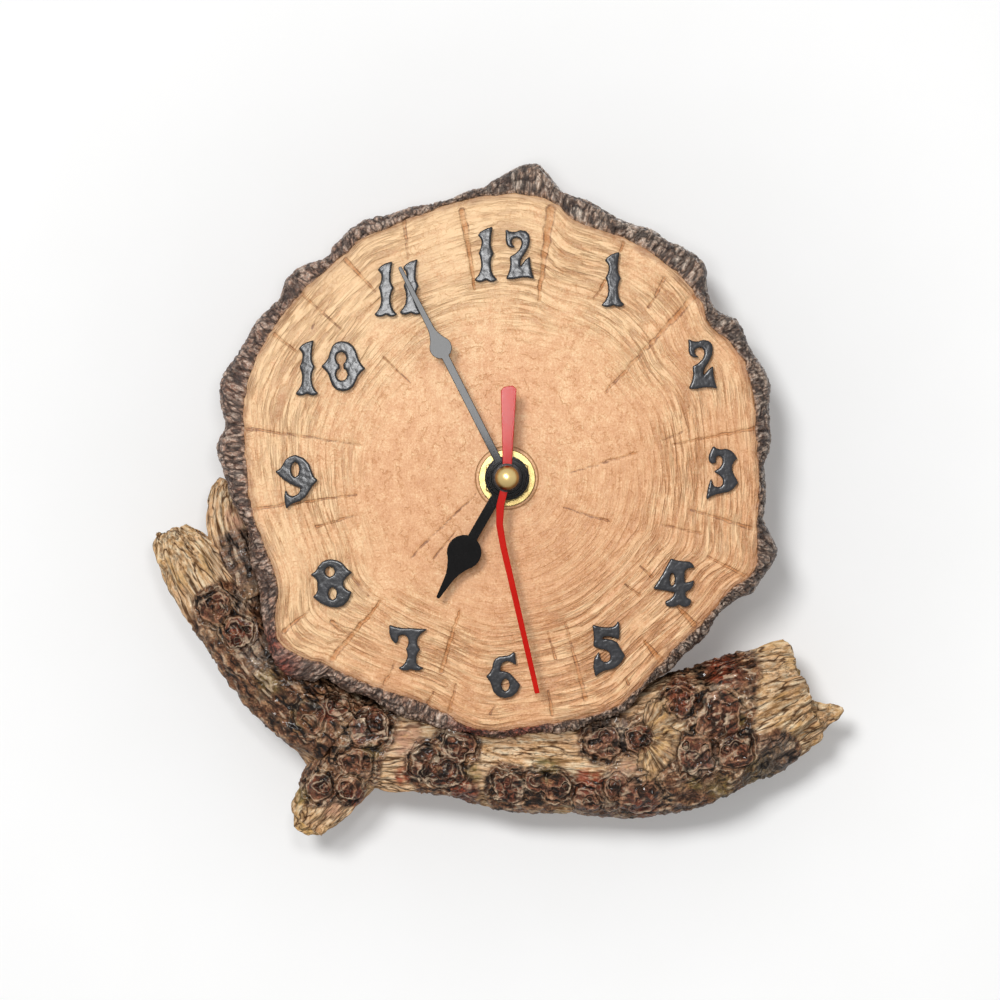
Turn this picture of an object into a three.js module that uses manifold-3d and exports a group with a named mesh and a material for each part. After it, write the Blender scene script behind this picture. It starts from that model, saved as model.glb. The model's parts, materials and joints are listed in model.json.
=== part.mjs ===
// Log slice wall clock. A sawn log slice in its ring of bark rests on a knotted bough and carries raised
// numerals and three hands. A quartz movement in a pocket behind the dial hangs on a nail by its hanger.
// Millimetres. +Z is up, the dial faces -Y, the wall is the plane Y = 0, and the origin is on the wall at the
// nail's height.

import * as THREE from 'three';
import { mergeVertices } from 'three/addons/utils/BufferGeometryUtils.js';
import Module from 'manifold-3d';

const wasm = await Module();
wasm.setup();

const TAU = Math.PI * 2;

// Clearances
const FIT_GAP = 0.3; // between a carved piece and the one it fits
const GLUE_GAP = 0.1; // between flat pieces that lie on each other
const RUNNING_GAP = 0.12; // round a turning shaft
const PRESS_GAP = 0.04; // round a hub pushed on its pipe
const WALL_CLEARANCE = 0.6; // from the setting knob to the wall

// Slice and bark
const SLICE_WIDTH = 133.5; // sawn face, edge to edge
const DIAL_WEB = 8; // wood between the face and the pocket floor
const POCKET_CLEARANCE = 1.5; // round the movement
const BARK_LIP = 0.8; // bark standing proud of the face
const BARK_SLOPE = 8; // depth over which the bark rounds back from its lip
const BARK_LEAST = 1.8; // thinnest bark
const BARK_RIDGE = 0.7; // height of the ridges, which run from front to back
const BARK_RIDGES = [29, 19]; // ridges in a turn, of two kinds
const BARK_TWIST = 0.05; // turn of a ridge's phase in each millimetre of depth
const BARK_WALL_GAP = 1.5;

// Branch
const BRANCH_FLATNESS = 0.82; // depth of a limb to its height
const BRANCH_WALL_GAP = 0.8;
const KNOT_RISE = 0.25; // share of a knot's width that stands out of the bark
const LIMB_HUMP = 0.045; // height of a hump to the limb's radius
const LIMB_HUMPS = [3, 5]; // humps round a limb, of two kinds
const LIMB_TWISTS = [0.1, -0.17]; // turn of their phase in each millimetre along the limb
const LIMB_SIDES = 18;
const LIMB_STEPS = 3; // rings between two sketched points

// Numerals
const NUMERAL_HEIGHT = 14.4; // of the figure one
const NUMERAL_THICKNESS = 1.6;
const NUMERAL_CURVE_STEPS = 3;

// Hands
const HAND_THICKNESS = 0.8;
const HAND_SPACING = 0.8; // clear distance between two hands
const PIPE_PROUD = 0.2; // pipe end in front of its hand
const HOUR_HAND_LENGTH = 36;
const HOUR_BULB_AT = 22.2;
const HOUR_BULB_RADIUS = 4.5;
const HOUR_SHANK_WIDTH = 2.6;
const HOUR_HUB_RADIUS = 5.8;
const HOUR_HAND_ANGLE = 210; // degrees clockwise from twelve
const MINUTE_HAND_LENGTH = 61.3;
const MINUTE_BULB_AT = 37.8;
const MINUTE_BULB_RADIUS = 2.9;
const MINUTE_SHANK_WIDTH = 2;
const MINUTE_HUB_RADIUS = 5;
const MINUTE_HAND_ANGLE = 333;
const HAND_TIP_WIDTH = 1;
const SECOND_HAND_LENGTH = 56.2;
const SECOND_TAIL_LENGTH = 23.4;
const SECOND_TAIL_WIDTH = 4.1;
const SECOND_WAIST_WIDTH = 2.1;
const SECOND_TIP_WIDTH = 1.3;
const SECOND_BEND = 3.6; // sideways bow of the hand beside its hub
const SECOND_HUB_RADIUS = 3.6;
const SECOND_HAND_ANGLE = 172;
const BALL_RADIUS = 3.15;
const BALL_SEAT = 2.5; // from the ball's centre to its flat

// Dial fixing and hanger
const WASHER_RADIUS = 7.4;
const WASHER_THICKNESS = 0.6;
const NUT_ACROSS_FLATS = 11;
const NUT_THICKNESS = 2;
const BUSHING_RADIUS = 4;
const BUSHING_FLANGE_RADIUS = 6;
const BUSHING_FLANGE_THICKNESS = 0.5;
const BUSHING_PROUD = 0.4; // thread end in front of the nut
const GASKET_RADIUS = 9;
const GASKET_THICKNESS = 1.2;
const HANGER_THICKNESS = 1;
const HANGER_WIDTH = 22;
const HANGER_DROP = 12; // plate below the arbor
const KEYHOLE_RADIUS = 4.2;
const KEYHOLE_SLOT = 3.6; // slot width
const KEYHOLE_RISE = 6; // from the hole's centre to the slot's round top
const HANGER_RIM = 3; // steel round the keyhole

// Arbors
const SECOND_ARBOR_RADIUS = 0.5;
const MINUTE_TUBE_RADIUS = 1.5;
const HOUR_PIPE_RADIUS = 2.5;
const POST_RADIUS = 0.5; // fixed posts that wheels run on

// Train, with the tooth form as shares of the module and of the tooth pitch
const TOOTH = { addendum: 0.8, dedendum: 1.2, rootShare: 0.26, tipShare: 0.1 };
const ROTOR_MODULE = 0.32; // rotor pinion and intermediate wheel
const INTERMEDIATE_MODULE = 0.4; // intermediate pinion and second wheel
const THIRD_MODULE = 0.36; // second pinion and third wheel
const MOTION_MODULE = 0.6; // cannon pinion, motion wheel and setting gear
const TEETH = {
  rotorPinion: 6, intermediateWheel: 36, intermediatePinion: 6, secondWheel: 30, secondPinion: 6,
  thirdWheel: 45, thirdPinion: 6, centreWheel: 48, cannonPinion: 8, motionWheel: 24, motionPinion: 6,
  hourWheel: 24, settingGear: 12,
};
const THIRD_BEARING = 150; // degrees anticlockwise from three o'clock, from the arbor
const INTERMEDIATE_BEARING = 90;
const MOTION_BEARING = 30;
const ROTOR_BEARING = 45; // from the intermediate wheel
const SETTING_BEARING = -30; // from the motion wheel
const WHEEL_THICKNESS = 1.1;
const LAYER_GAP = 0.4;

// Motor
const MAGNET_RADIUS = 2.3;
const MAGNET_THICKNESS = 2;
const MAGNET_AIR_GAP = 0.6;
const STATOR_THICKNESS = 1;
const STATOR_NECK = 0.7; // iron above and below the magnet
const STATOR_LEG_WIDTH = 4;
const COIL_LENGTH = 23;
const COIL_RISE = 8; // coil axis above the magnet's centre
const BOBBIN_RADIUS = 2.4;
const BOBBIN_WALL = 1;
const BOBBIN_TUBE_RADIUS = 1.5;
const WINDING_RADIUS = 2.2;
const CORE_RADIUS = 0.9;

// Case, circuit, knob and cell
const CASE_WALL = 1.2;
const CASE_CORNER = 3;
const CASE_HEADROOM = 4.2; // above the coil
const TRAIN_CLEARANCE = 2.2; // below the largest wheel
const PARTITION = 1; // wall between the train and the cell
const BOARD_WIDTH = 12;
const BOARD_HEIGHT = 30;
const BOARD_THICKNESS = 1;
const BOARD_POST_RADIUS = 1.5;
const CRYSTAL_RADIUS = 1;
const CRYSTAL_LENGTH = 6;
const CHIP_SIZE = 5;
const CHIP_THICKNESS = 1;
const KNOB_RADIUS = 6;
const KNOB_THICKNESS = 2.6;
const KNOB_GAP = 0.3;
const KNOB_SHAFT_RADIUS = 1.5;
const KNOB_FLUTES = 18;
const KNOB_FLUTE_DEPTH = 0.5;
const CELL_DIAMETER = 14.5;
const CELL_LENGTH = 50.5;
const CELL_BUTTON_RADIUS = 2.75;
const CELL_BUTTON_LENGTH = 1.2;
const CELL_CLEARANCE = 0.3;
const CONTACT_THICKNESS = 0.4;
const CONTACT_WIDTH = 8;
const CONTACT_SPRING = 2; // bow of the negative contact

// Facets
const OUTLINE_STEPS = 174;
const ROUND_STEPS = 20;
const CORNER_STEPS = 4;
const KNOT_STEPS = [7, 5];

// Sketch of the slice and the branch seen from the front: x to the right and z up from the arbor, clockwise
const WOOD_EDGE = [
  [1, 74], [11.5, 72], [17.5, 67], [27.5, 63.5], [36, 59.5], [44, 53.5], [49.5, 47.5], [53, 40], [60, 33],
  [63, 26.5], [65, 8], [65, -12], [64.5, -24], [57.5, -30], [43, -45], [29, -59], [19, -62.5], [6, -64.5],
  [-7, -65.5], [-23, -58], [-46, -49], [-52, -47], [-59.5, -41.5], [-60, -26], [-66, -9.5], [-68, 8],
  [-68.5, 18.5], [-66, 29], [-61, 38.5], [-43.5, 57], [-38, 62], [-26, 67], [-7, 73],
];
const BARK_EDGE = [
  [6.5, 82], [10.5, 80], [16.5, 74.5], [32, 66.5], [39, 64.5], [51, 56], [52.5, 50.5], [55, 44], [59.5, 41],
  [63.5, 35.5], [69, 20], [67, 2], [66, -7.5], [70, -17.5], [68.5, -23], [64.5, -29.5], [57.5, -34],
  [39, -52.5], [29, -61.5], [22, -64.5], [14.5, -66.5], [-6, -67], [-16.5, -66], [-33, -59.5], [-46.5, -52.5],
  [-51, -53.5], [-57, -52], [-62.5, -45], [-64.5, -31], [-69, -12.5], [-75.5, 7], [-74, 13.5], [-75, 20],
  [-73, 29], [-61, 45.5], [-57.5, 52.5], [-47.5, 57.5], [-44.5, 62.5], [-28.5, 70], [-11, 72.5], [-2, 79],
];

// Limbs as centre points with their radius, each from its root to its tip
const BOUGH = [
  [-46, -69, 10.5], [-34, -69.5, 12.4], [-22.5, -69.5, 13], [-2, -71, 14.6], [19, -73, 15.6],
  [34.5, -72.5, 16.6], [50, -67.5, 17], [64, -61.5, 16.4], [72, -58, 14.8], [78, -55.5, 13],
];
const BOUGH_SPIKE = [[70, -63, 7.5], [79, -63.5, 5.5], [84, -62.3, 3.2], [88.5, -60.8, 0.8]];
const LEFT_LIMB = [
  [-43.5, -67, 11.5], [-52.5, -60, 10.6], [-61.5, -51.5, 10], [-69.5, -42, 9.6], [-76, -33, 9.4],
  [-82, -23.5, 8.8], [-86.5, -16.5, 6.4], [-88, -13.5, 4.2],
];
const SIDE_TWIG = [[-66, -31, 6.5], [-70, -21, 6.5], [-73, -11, 5.6], [-73.5, -4.5, 4.4], [-73, -0.5, 2.4]];
const FOOT_STUB = [[-41, -74, 9.5], [-46, -81, 8.4], [-50, -86.5, 6.8], [-53, -90.5, 4.8]];

// Knots as centre points with their radius
const BOUGH_KNOTS = [
  [-36.4, -64.6, 5], [-39.5, -74.8, 4.2], [-20.5, -74.8, 4.2], [-15.8, -76.6, 4], [-13, -69.6, 4.2],
  [0.4, -81, 4], [7.6, -79.2, 2.8], [13, -80.6, 3.4], [20.5, -84, 3.2], [28.3, -80.4, 3], [34.6, -83.4, 4.8],
  [25, -69, 4], [34.6, -67.8, 3.6], [45.2, -58, 3.6], [55.5, -62.6, 6], [49, -72, 4.6], [59.4, -71.4, 4.2],
];
const LIMB_KNOTS = [[-76.4, -34, 3.8], [-70.4, -40.4, 3.6], [-51.2, -62.4, 3.8], [-44.4, -59.6, 2.8]];
const FOOT_KNOTS = [[-49.2, -80.8, 3.4], [-41.4, -81, 3]];

// Figures in the western style, as a start point and curves of a control point and an end point
const FIGURES = {
  0: {
    start: [-0.4, 6.5],
    curves: [
      [2.6, 6.5, 3.4, 3.4], [3.8, 1, 5.6, -0.6], [3.8, -1.8, 3.2, -3.8], [2.4, -6.4, -0.1, -6.4],
      [-2.8, -6.4, -3.4, -3.4], [-3.8, -1.2, -5.7, 0], [-3.9, 1.2, -3.5, 3.4], [-2.8, 6.5, -0.4, 6.5],
    ],
    eyes: [[-0.6, 2.1, 1.5, 1.8], [-0.5, 0, 0.65, 1], [-0.4, -2.1, 1.6, 1.8]],
  },
  1: {
    start: [1.7, 7.2],
    curves: [
      [1.1, 4.6, 1.2, 2.4], [1.4, 1.2, 2, 0.4], [1, -1.2, 1.2, -3.2], [1.4, -5.4, 2.9, -6.5],
      [1.6, -7.6, 0.1, -6.5], [-1.6, -7.6, -2.9, -6.6], [-1.2, -5, -1.1, -3], [-1.1, -0.8, -1.8, 0.4],
      [-1, 1.6, -1, 3.4], [-1.1, 4.4, -2, 5], [-1.4, 6.4, 1.7, 7.2],
    ],
    eyes: [],
  },
  2: {
    start: [-3.4, 6.5],
    curves: [
      [-1.6, 5.2, 0.5, 6.3], [2.9, 6.3, 2.9, 3.9], [2.9, 1.8, 0.9, -0.6], [0.2, -1.6, 0.4, -3.6],
      [1.2, -1.6, 2.9, -0.6], [3, -4.2, 4, -6.2], [1.5, -5.6, 0, -6], [-2, -6.6, -3.2, -6.2],
      [-1.6, -3.6, -2.2, -0.6], [0.6, 0.6, 0.9, 2.8], [0.9, 4.6, -0.6, 4.5], [-2, 4.3, -1.9, 3.2],
      [-1.8, 2.2, -0.7, 1.9], [-3.2, 1.4, -3.3, 3.8], [-3.1, 5.2, -3.4, 6.5],
    ],
    eyes: [],
  },
  3: {
    start: [-2.4, 6.7],
    curves: [
      [-1.2, 5.4, 0.8, 6], [2.6, 5.9, 3.7, 3.6], [2.2, 2.6, 2.3, 0.7], [2.8, -0.9, 4, -2.6],
      [2.6, -5.3, -0.4, -5.4], [-2.4, -5.6, -4.2, -7], [-3.8, -3.6, -3, -1.8], [-2.9, -4, -1.2, -4],
      [0.4, -3.8, 0.2, -2.2], [0, -0.8, -2.2, 0.2], [-0.2, 0.9, 0.1, 2.6], [0.1, 4.4, -1.1, 4.4],
      [-2.2, 4.2, -1.8, 2.5], [-3.6, 1.8, -3.6, 3.8], [-3.3, 5.2, -2.4, 6.7],
    ],
    eyes: [],
  },
  4: {
    start: [-0.9, 6.5],
    curves: [
      [0.6, 5.8, 2.6, 5.8], [4.6, 6, 5.1, 4.2], [3.2, 4.4, 2.6, 3.4], [2.4, 1.6, 2.6, 0.2],
      [3.6, 0.2, 5, 0.9], [5, -1.6, 2.8, -2], [2.4, -3.8, 4.3, -4.2], [4.2, -6, 2.6, -5.9],
      [1.6, -5.8, 1.2, -5.2], [0.4, -6, -1, -5.9], [-2.4, -5.9, -2.4, -4.6], [-0.2, -4, 0.2, -2.1],
      [-2.6, -1.6, -5.5, -1.2], [-4.2, 0.2, -0.9, 6.5],
    ],
    eyes: [[-0.6, 1.2, 0.8, 1.9]],
  },
  5: {
    start: [-3.8, 6.3],
    curves: [
      [-0.4, 5.2, 1.6, 5.8], [2.6, 6.2, 2.9, 7.5], [3.4, 5.2, 3, 2.7], [1.8, 3.4, -0.2, 3.5],
      [-1.5, 3.4, -1.4, 2.5], [0.8, 2.9, 2.6, 1.7], [3.4, 0, 4.6, -1.6], [3.2, -5.2, -0.2, -5.4],
      [-1.9, -5.6, -3, -7], [-4.4, -3, -2.2, -0.8], [-2.2, -2.9, -0.7, -3.4], [1, -3.5, 1, -2],
      [0.8, -0.1, -1, 0.1], [-2.2, 0.2, -3.5, 0.9], [-3.1, 3.6, -3.8, 6.3],
    ],
    eyes: [],
  },
  6: {
    start: [2.9, 6.4],
    curves: [
      [3.2, 4.8, 3.3, 3], [2, 4.2, 0.6, 4], [-0.9, 3.6, -0.9, 1.2], [0.4, 1.4, 1.6, 0.8],
      [3, -0.6, 4.4, -2.3], [3.4, -5.6, 0.4, -5.6], [-2.6, -5.4, -3, -2.2], [-3.4, -0.8, -4.4, -0.1],
      [-2.6, 1.2, -2.5, 3.6], [-2, 5.2, 0.4, 5.2], [1.8, 5.2, 2.9, 6.4],
    ],
    eyes: [[0.6, -2.2, 1.2, 1.8]],
  },
  7: {
    start: [-4.5, 6.3],
    curves: [
      [-2.2, 5.2, 1, 5.4], [3.6, 5.2, 5.1, 5.2], [2.6, 3.8, 2.5, 2], [2.5, 0.8, 3.4, 0], [2, -1.2, 2.4, -3.6],
      [2.8, -4.4, 4.2, -4.9], [2.6, -6, 1.1, -5], [-0.6, -6, -2.1, -4.9], [-0.2, -4.2, 0.2, -2],
      [0.4, -0.8, -0.2, 0], [0.6, 1, 0.5, 2.4], [0.2, 4, -1.2, 3.9], [-2.6, 3.8, -2.3, 2.4],
      [-2.5, 1.6, -3.1, 1.6], [-4.8, 3, -4.5, 6.3],
    ],
    eyes: [],
  },
  8: {
    start: [-0.4, 6.3],
    curves: [
      [2.6, 6.2, 3.6, 4.2], [4.2, 3.4, 5.2, 3], [2.6, 1.2, 2.9, -0.4], [3.6, -1.8, 5.1, -2.1],
      [4.2, -5.8, 1.4, -6.1], [-2, -6.2, -4.8, -3.4], [-3.4, -2.4, -3.6, -0.8], [-3.2, 1.2, -5.4, 2.4],
      [-3.8, 3.2, -3.4, 4.6], [-2.4, 6.2, -0.4, 6.3],
    ],
    eyes: [[-0.5, 3.2, 1.4, 1.5], [0.2, -2.5, 1.2, 1.8]],
  },
  9: {
    start: [0, 6.9],
    curves: [
      [3.6, 6.4, 4.4, 2.2], [4.8, 1, 5.8, 0.4], [4.4, -0.8, 3.6, -2.4], [2.4, -5, -0.4, -5.4],
      [-1.4, -5.8, -2.3, -6.9], [-3.2, -3.6, -2.4, -2.3], [-2, -4, -0.4, -3.8], [1.4, -3.4, 1.5, -1.5],
      [-2.4, -0.6, -5.1, 2.7], [-3.6, 3.2, -3.2, 4.4], [-2.4, 6.6, 0, 6.9],
    ],
    eyes: [[0, 3.2, 1.2, 2.1]],
  },
};
const FIGURE_HEIGHT = 14.4; // height at which the figures are drawn

// Numerals as a name, a figure and the place of its centre on the slice's sketch
const NUMERALS = [
  ['numeral_1', '1', 27.5, 51.5], ['numeral_2', '2', 50.5, 29.5], ['numeral_3', '3', 56, 1.5],
  ['numeral_4', '4', 43.5, -27.5], ['numeral_5', '5', 26, -44.5], ['numeral_6', '6', -1, -51.5],
  ['numeral_7', '7', -26, -44.5], ['numeral_8', '8', -45.5, -27.5], ['numeral_9', '9', -55, -1],
  ['numeral_10_tens', '1', -52, 28.5], ['numeral_10_units', '0', -42.5, 29],
  ['numeral_11_tens', '1', -31.5, 49], ['numeral_11_units', '1', -25, 49.5],
  ['numeral_12_tens', '1', -5.5, 58], ['numeral_12_units', '2', 3, 58],
];

// Finishes
const FINISHES = {
  wood: { color: 0xd9a468, roughness: 0.75, metalness: 0 },
  bark: { color: 0x5b4a4a, roughness: 0.9, metalness: 0 },
  branch: { color: 0x7a6041, roughness: 0.7, metalness: 0 },
  numeral: { color: 0x2c2d30, roughness: 0.45, metalness: 0.3 },
  hand: { color: 0x1a1a1c, roughness: 0.5, metalness: 0.2 },
  redHand: { color: 0xc0200f, roughness: 0.45, metalness: 0 },
  brass: { color: 0xc9a552, roughness: 0.25, metalness: 1 },
  steel: { color: 0xb9bbbd, roughness: 0.35, metalness: 1 },
  rubber: { color: 0x202020, roughness: 0.9, metalness: 0 },
  blackPlastic: { color: 0x1d1d1f, roughness: 0.55, metalness: 0 },
  palePlastic: { color: 0xe6e2d6, roughness: 0.5, metalness: 0 },
  board: { color: 0x2f6a3c, roughness: 0.6, metalness: 0 },
  copper: { color: 0xb4693a, roughness: 0.4, metalness: 1 },
  magnet: { color: 0x4a4a4e, roughness: 0.5, metalness: 0.6 },
  cell: { color: 0x3a5f86, roughness: 0.4, metalness: 0.3 },
};

// Solids

// A closed geometry as a solid whose faces point out.
function solid(geometry) {
  const bare = geometry.clone();
  bare.deleteAttribute('normal');
  bare.deleteAttribute('uv');
  const merged = mergeVertices(bare, 1e-4);
  const place = merged.attributes.position;
  const corner = (i) => new THREE.Vector3().fromBufferAttribute(place, i);
  const triangles = [];
  let volume = 0;
  for (let i = 0; i < merged.index.count; i += 3) {
    const [a, b, c] = [0, 1, 2].map((k) => merged.index.getX(i + k));
    if (a !== b && b !== c && c !== a) {
      triangles.push([a, b, c]);
      volume += corner(a).dot(corner(b).cross(corner(c)));
    }
  }
  const outward = volume > 0 ? triangles : triangles.map(([a, b, c]) => [a, c, b]);
  return new wasm.Manifold(new wasm.Mesh({
    numProp: 3,
    vertProperties: new Float32Array(place.array),
    triVerts: new Uint32Array(outward.flat()),
  }));
}

const join = (first, ...rest) => rest.reduce((whole, part) => whole.add(part), first);
const cut = (first, ...rest) => rest.reduce((whole, part) => whole.subtract(part), first);

function geometryOf(body) {
  const mesh = body.getMesh();
  const geometry = new THREE.BufferGeometry();
  geometry.setAttribute('position', new THREE.BufferAttribute(new Float32Array(mesh.vertProperties), 3));
  geometry.setIndex(new THREE.BufferAttribute(new Uint32Array(mesh.triVerts), 1));
  geometry.computeVertexNormals();
  return geometry;
}

// A flat outline, drawn from the front, made solid between two depths.
function slab(shape, front, back, curveSegments = ROUND_STEPS / 2) {
  const depth = back - front;
  const geometry = new THREE.ExtrudeGeometry(shape, { depth, bevelEnabled: false, curveSegments });
  geometry.rotateX(Math.PI / 2);
  geometry.translate(0, back, 0);
  return solid(geometry);
}

// A profile of radius and depth, turned about the Y axis.
function turned(profile, steps = ROUND_STEPS) {
  const points = profile.map(([radius, depth]) => new THREE.Vector2(radius, depth));
  return solid(new THREE.LatheGeometry(points, steps));
}

function rod(radius, front, back, steps) {
  return turned([[0, front], [radius, front], [radius, back], [0, back]], steps);
}

function ring(outer, inner, front, back, steps) {
  return turned([[inner, front], [outer, front], [outer, back], [inner, back], [inner, front]], steps);
}

function block(left, right, front, back, low, high) {
  const geometry = new THREE.BoxGeometry(right - left, back - front, high - low);
  geometry.translate((left + right) / 2, (front + back) / 2, (low + high) / 2);
  return solid(geometry);
}

function roundedRectangle(left, right, low, high, radius) {
  const shape = new THREE.Shape();
  shape.absarc(right - radius, high - radius, radius, 0, TAU / 4);
  shape.absarc(left + radius, high - radius, radius, TAU / 4, TAU / 2);
  shape.absarc(left + radius, low + radius, radius, TAU / 2, TAU * 0.75);
  shape.absarc(right - radius, low + radius, radius, TAU * 0.75, TAU);
  return shape;
}

// A closed skin over rings of points, with a fan over each end.
function loft(rings) {
  const count = rings[0].length;
  const points = rings.flat();
  const triangles = [];
  for (let r = 0; r + 1 < rings.length; r++) {
    for (let i = 0; i < count; i++) {
      const here = r * count + i;
      const beside = r * count + ((i + 1) % count);
      triangles.push(here, beside, here + count, beside, beside + count, here + count);
    }
  }
  for (const [start, turn] of [[0, 1], [(rings.length - 1) * count, -1]]) {
    const centre = new THREE.Vector3();
    points.slice(start, start + count).forEach((point) => centre.addScaledVector(point, 1 / count));
    points.push(centre);
    for (let i = 0; i < count; i++) {
      const edge = [start + i, start + ((i + 1) % count)];
      triangles.push(points.length - 1, ...(turn > 0 ? edge.reverse() : edge));
    }
  }
  const geometry = new THREE.BufferGeometry().setFromPoints(points);
  geometry.setIndex(triangles);
  return solid(geometry);
}

// Radius of a bore that clears a faceted shaft at every angle.
const boreFor = (radius, clearance) => radius / Math.cos(Math.PI / ROUND_STEPS) + clearance;

const bearing = (degrees, distance) => {
  const angle = THREE.MathUtils.degToRad(degrees);
  return new THREE.Vector2(distance * Math.cos(angle), distance * Math.sin(angle));
};

// Scene graph
const clock = new THREE.Group();

function piece(name, body, finish, parent = clock) {
  const mesh = new THREE.Mesh(geometryOf(body), new THREE.MeshStandardMaterial(FINISHES[finish]));
  mesh.name = name;
  parent.add(mesh);
  return mesh;
}

function pivot(place, degrees = 0) {
  const group = new THREE.Group();
  group.position.set(place.x, 0, place.y);
  group.rotation.y = THREE.MathUtils.degToRad(degrees);
  clock.add(group);
  return group;
}

// Places of the arbors, from the tooth counts
const thirdPinionModule = (THIRD_MODULE * (TEETH.secondPinion + TEETH.thirdWheel))
  / (TEETH.thirdPinion + TEETH.centreWheel);
const motionPinionModule = (MOTION_MODULE * (TEETH.cannonPinion + TEETH.motionWheel))
  / (TEETH.motionPinion + TEETH.hourWheel);
const spacing = (module, first, second) => (module * (first + second)) / 2;
const tipRadius = (module, teeth) => module * (teeth / 2 + TOOTH.addendum);

const arborAt = new THREE.Vector2(0, 0);
const thirdAt = bearing(THIRD_BEARING, spacing(THIRD_MODULE, TEETH.secondPinion, TEETH.thirdWheel));
const intermediateAt = bearing(
  INTERMEDIATE_BEARING, spacing(INTERMEDIATE_MODULE, TEETH.intermediatePinion, TEETH.secondWheel));
const motionAt = bearing(MOTION_BEARING, spacing(MOTION_MODULE, TEETH.cannonPinion, TEETH.motionWheel));
const rotorAt = bearing(ROTOR_BEARING, spacing(ROTOR_MODULE, TEETH.rotorPinion, TEETH.intermediateWheel))
  .add(intermediateAt);
const settingAt = bearing(SETTING_BEARING, spacing(MOTION_MODULE, TEETH.settingGear, TEETH.motionWheel))
  .add(motionAt);

// Depths inside the movement, counted from its front
const layerAfter = (depth, thickness = WHEEL_THICKNESS) => [depth + LAYER_GAP, depth + LAYER_GAP + thickness];
const flangeDepth = [CASE_WALL + GLUE_GAP, CASE_WALL + GLUE_GAP + BUSHING_FLANGE_THICKNESS];
const hourDepth = layerAfter(flangeDepth[1]);
const motionDepth = layerAfter(hourDepth[1]);
const centreDepth = layerAfter(motionDepth[1]);
const thirdDepth = layerAfter(centreDepth[1]);
const secondDepth = layerAfter(thirdDepth[1]);
const intermediateDepth = layerAfter(secondDepth[1]);
const magnetDepth = layerAfter(intermediateDepth[1], MAGNET_THICKNESS);
const coilDepth = (magnetDepth[0] + magnetDepth[1]) / 2;
const coverDepth = coilDepth + BOBBIN_RADIUS + RUNNING_GAP;
const movementDepth = coverDepth + GLUE_GAP + CASE_WALL;
const knobDepth = [movementDepth + KNOB_GAP, movementDepth + KNOB_GAP + KNOB_THICKNESS];

// Depths in the clock, counted back from the dial to the wall at zero
const movementFront = -(WALL_CLEARANCE + knobDepth[1]);
const at = (depth) => movementFront + depth;
const hangerFront = movementFront - GLUE_GAP - HANGER_THICKNESS;
const gasketFront = hangerFront - GLUE_GAP - GASKET_THICKNESS;
const pocketFloor = gasketFront - GLUE_GAP;
const face = pocketFloor - DIAL_WEB;
const washerFront = face - GLUE_GAP - WASHER_THICKNESS;
const nutFront = washerFront - GLUE_GAP - NUT_THICKNESS;
const bushingFront = nutFront - BUSHING_PROUD;
const hourHandBack = bushingFront - HAND_SPACING;
const hourPipeFront = hourHandBack - HAND_THICKNESS - PIPE_PROUD;
const minuteHandBack = hourPipeFront - HAND_SPACING;
const minuteTubeFront = minuteHandBack - HAND_THICKNESS - PIPE_PROUD;
const secondHandBack = minuteTubeFront - HAND_SPACING;
const secondArborFront = secondHandBack - HAND_THICKNESS;

// Outer sizes of the movement
const coilHeight = rotorAt.y + COIL_RISE;
const trainLow = -(tipRadius(thirdPinionModule, TEETH.centreWheel) + TRAIN_CLEARANCE);
const cellHeight = trainLow - PARTITION - CELL_CLEARANCE - CELL_DIAMETER / 2;
const caseLow = cellHeight - CELL_DIAMETER / 2 - CELL_CLEARANCE - CASE_WALL;
const caseHigh = coilHeight + BOBBIN_RADIUS + CASE_HEADROOM + CASE_WALL;
const cellRoom = CELL_LENGTH + 2 * CONTACT_THICKNESS + CONTACT_SPRING + 3 * GLUE_GAP;
const settingReach = settingAt.x + tipRadius(MOTION_MODULE, TEETH.settingGear) + TRAIN_CLEARANCE;
const caseHalfWidth = Math.max(cellRoom / 2, settingReach) + CASE_WALL;
const roomHalfWidth = caseHalfWidth - CASE_WALL;

// Hanger and nail
const hangerTop = caseHigh + GLUE_GAP + HANGER_THICKNESS;
const keyholeHeight = hangerTop + HANGER_RIM + KEYHOLE_RADIUS;
const nailHeight = keyholeHeight + KEYHOLE_RISE + KEYHOLE_SLOT / 2;
const hangerHigh = nailHeight + HANGER_RIM;

// Slice and bark
const sketchSpan = Math.max(...WOOD_EDGE.map(([x]) => x)) - Math.min(...WOOD_EDGE.map(([x]) => x));
const sketchScale = SLICE_WIDTH / sketchSpan;

function polar(sketch) {
  const points = sketch.map(([x, z]) => ({
    angle: (Math.atan2(x, z) + TAU) % TAU,
    radius: Math.hypot(x, z) * sketchScale,
  }));
  return points.sort((a, b) => a.angle - b.angle);
}

const woodEdge = polar(WOOD_EDGE);
const barkEdge = polar(BARK_EDGE);

// Radius of an outline at a clock angle, on a smooth cubic through its points.
function radiusAt(outline, angle) {
  const count = outline.length;
  const next = outline.findIndex((point) => point.angle > angle);
  const index = next < 0 ? count : next;
  const [p0, p1, p2, p3] = [-2, -1, 0, 1].map((k) => outline[(index + k + count) % count]);
  const span = (p2.angle - p1.angle + TAU) % TAU;
  const t = ((angle - p1.angle + TAU) % TAU) / span;
  const bend = -p0.radius + 3 * p1.radius - 3 * p2.radius + p3.radius;
  const slope = 2 * p0.radius - 5 * p1.radius + 4 * p2.radius - p3.radius;
  return p1.radius + (t * (p2.radius - p0.radius + t * (slope + t * bend))) / 2;
}

const clockAngles = Array.from({ length: OUTLINE_STEPS }, (_, i) => (i * TAU) / OUTLINE_STEPS);
const woodRadius = (angle) => radiusAt(woodEdge, angle);
const barkRadius = (angle) => Math.max(radiusAt(barkEdge, angle), woodRadius(angle) + FIT_GAP + BARK_LEAST);

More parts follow.
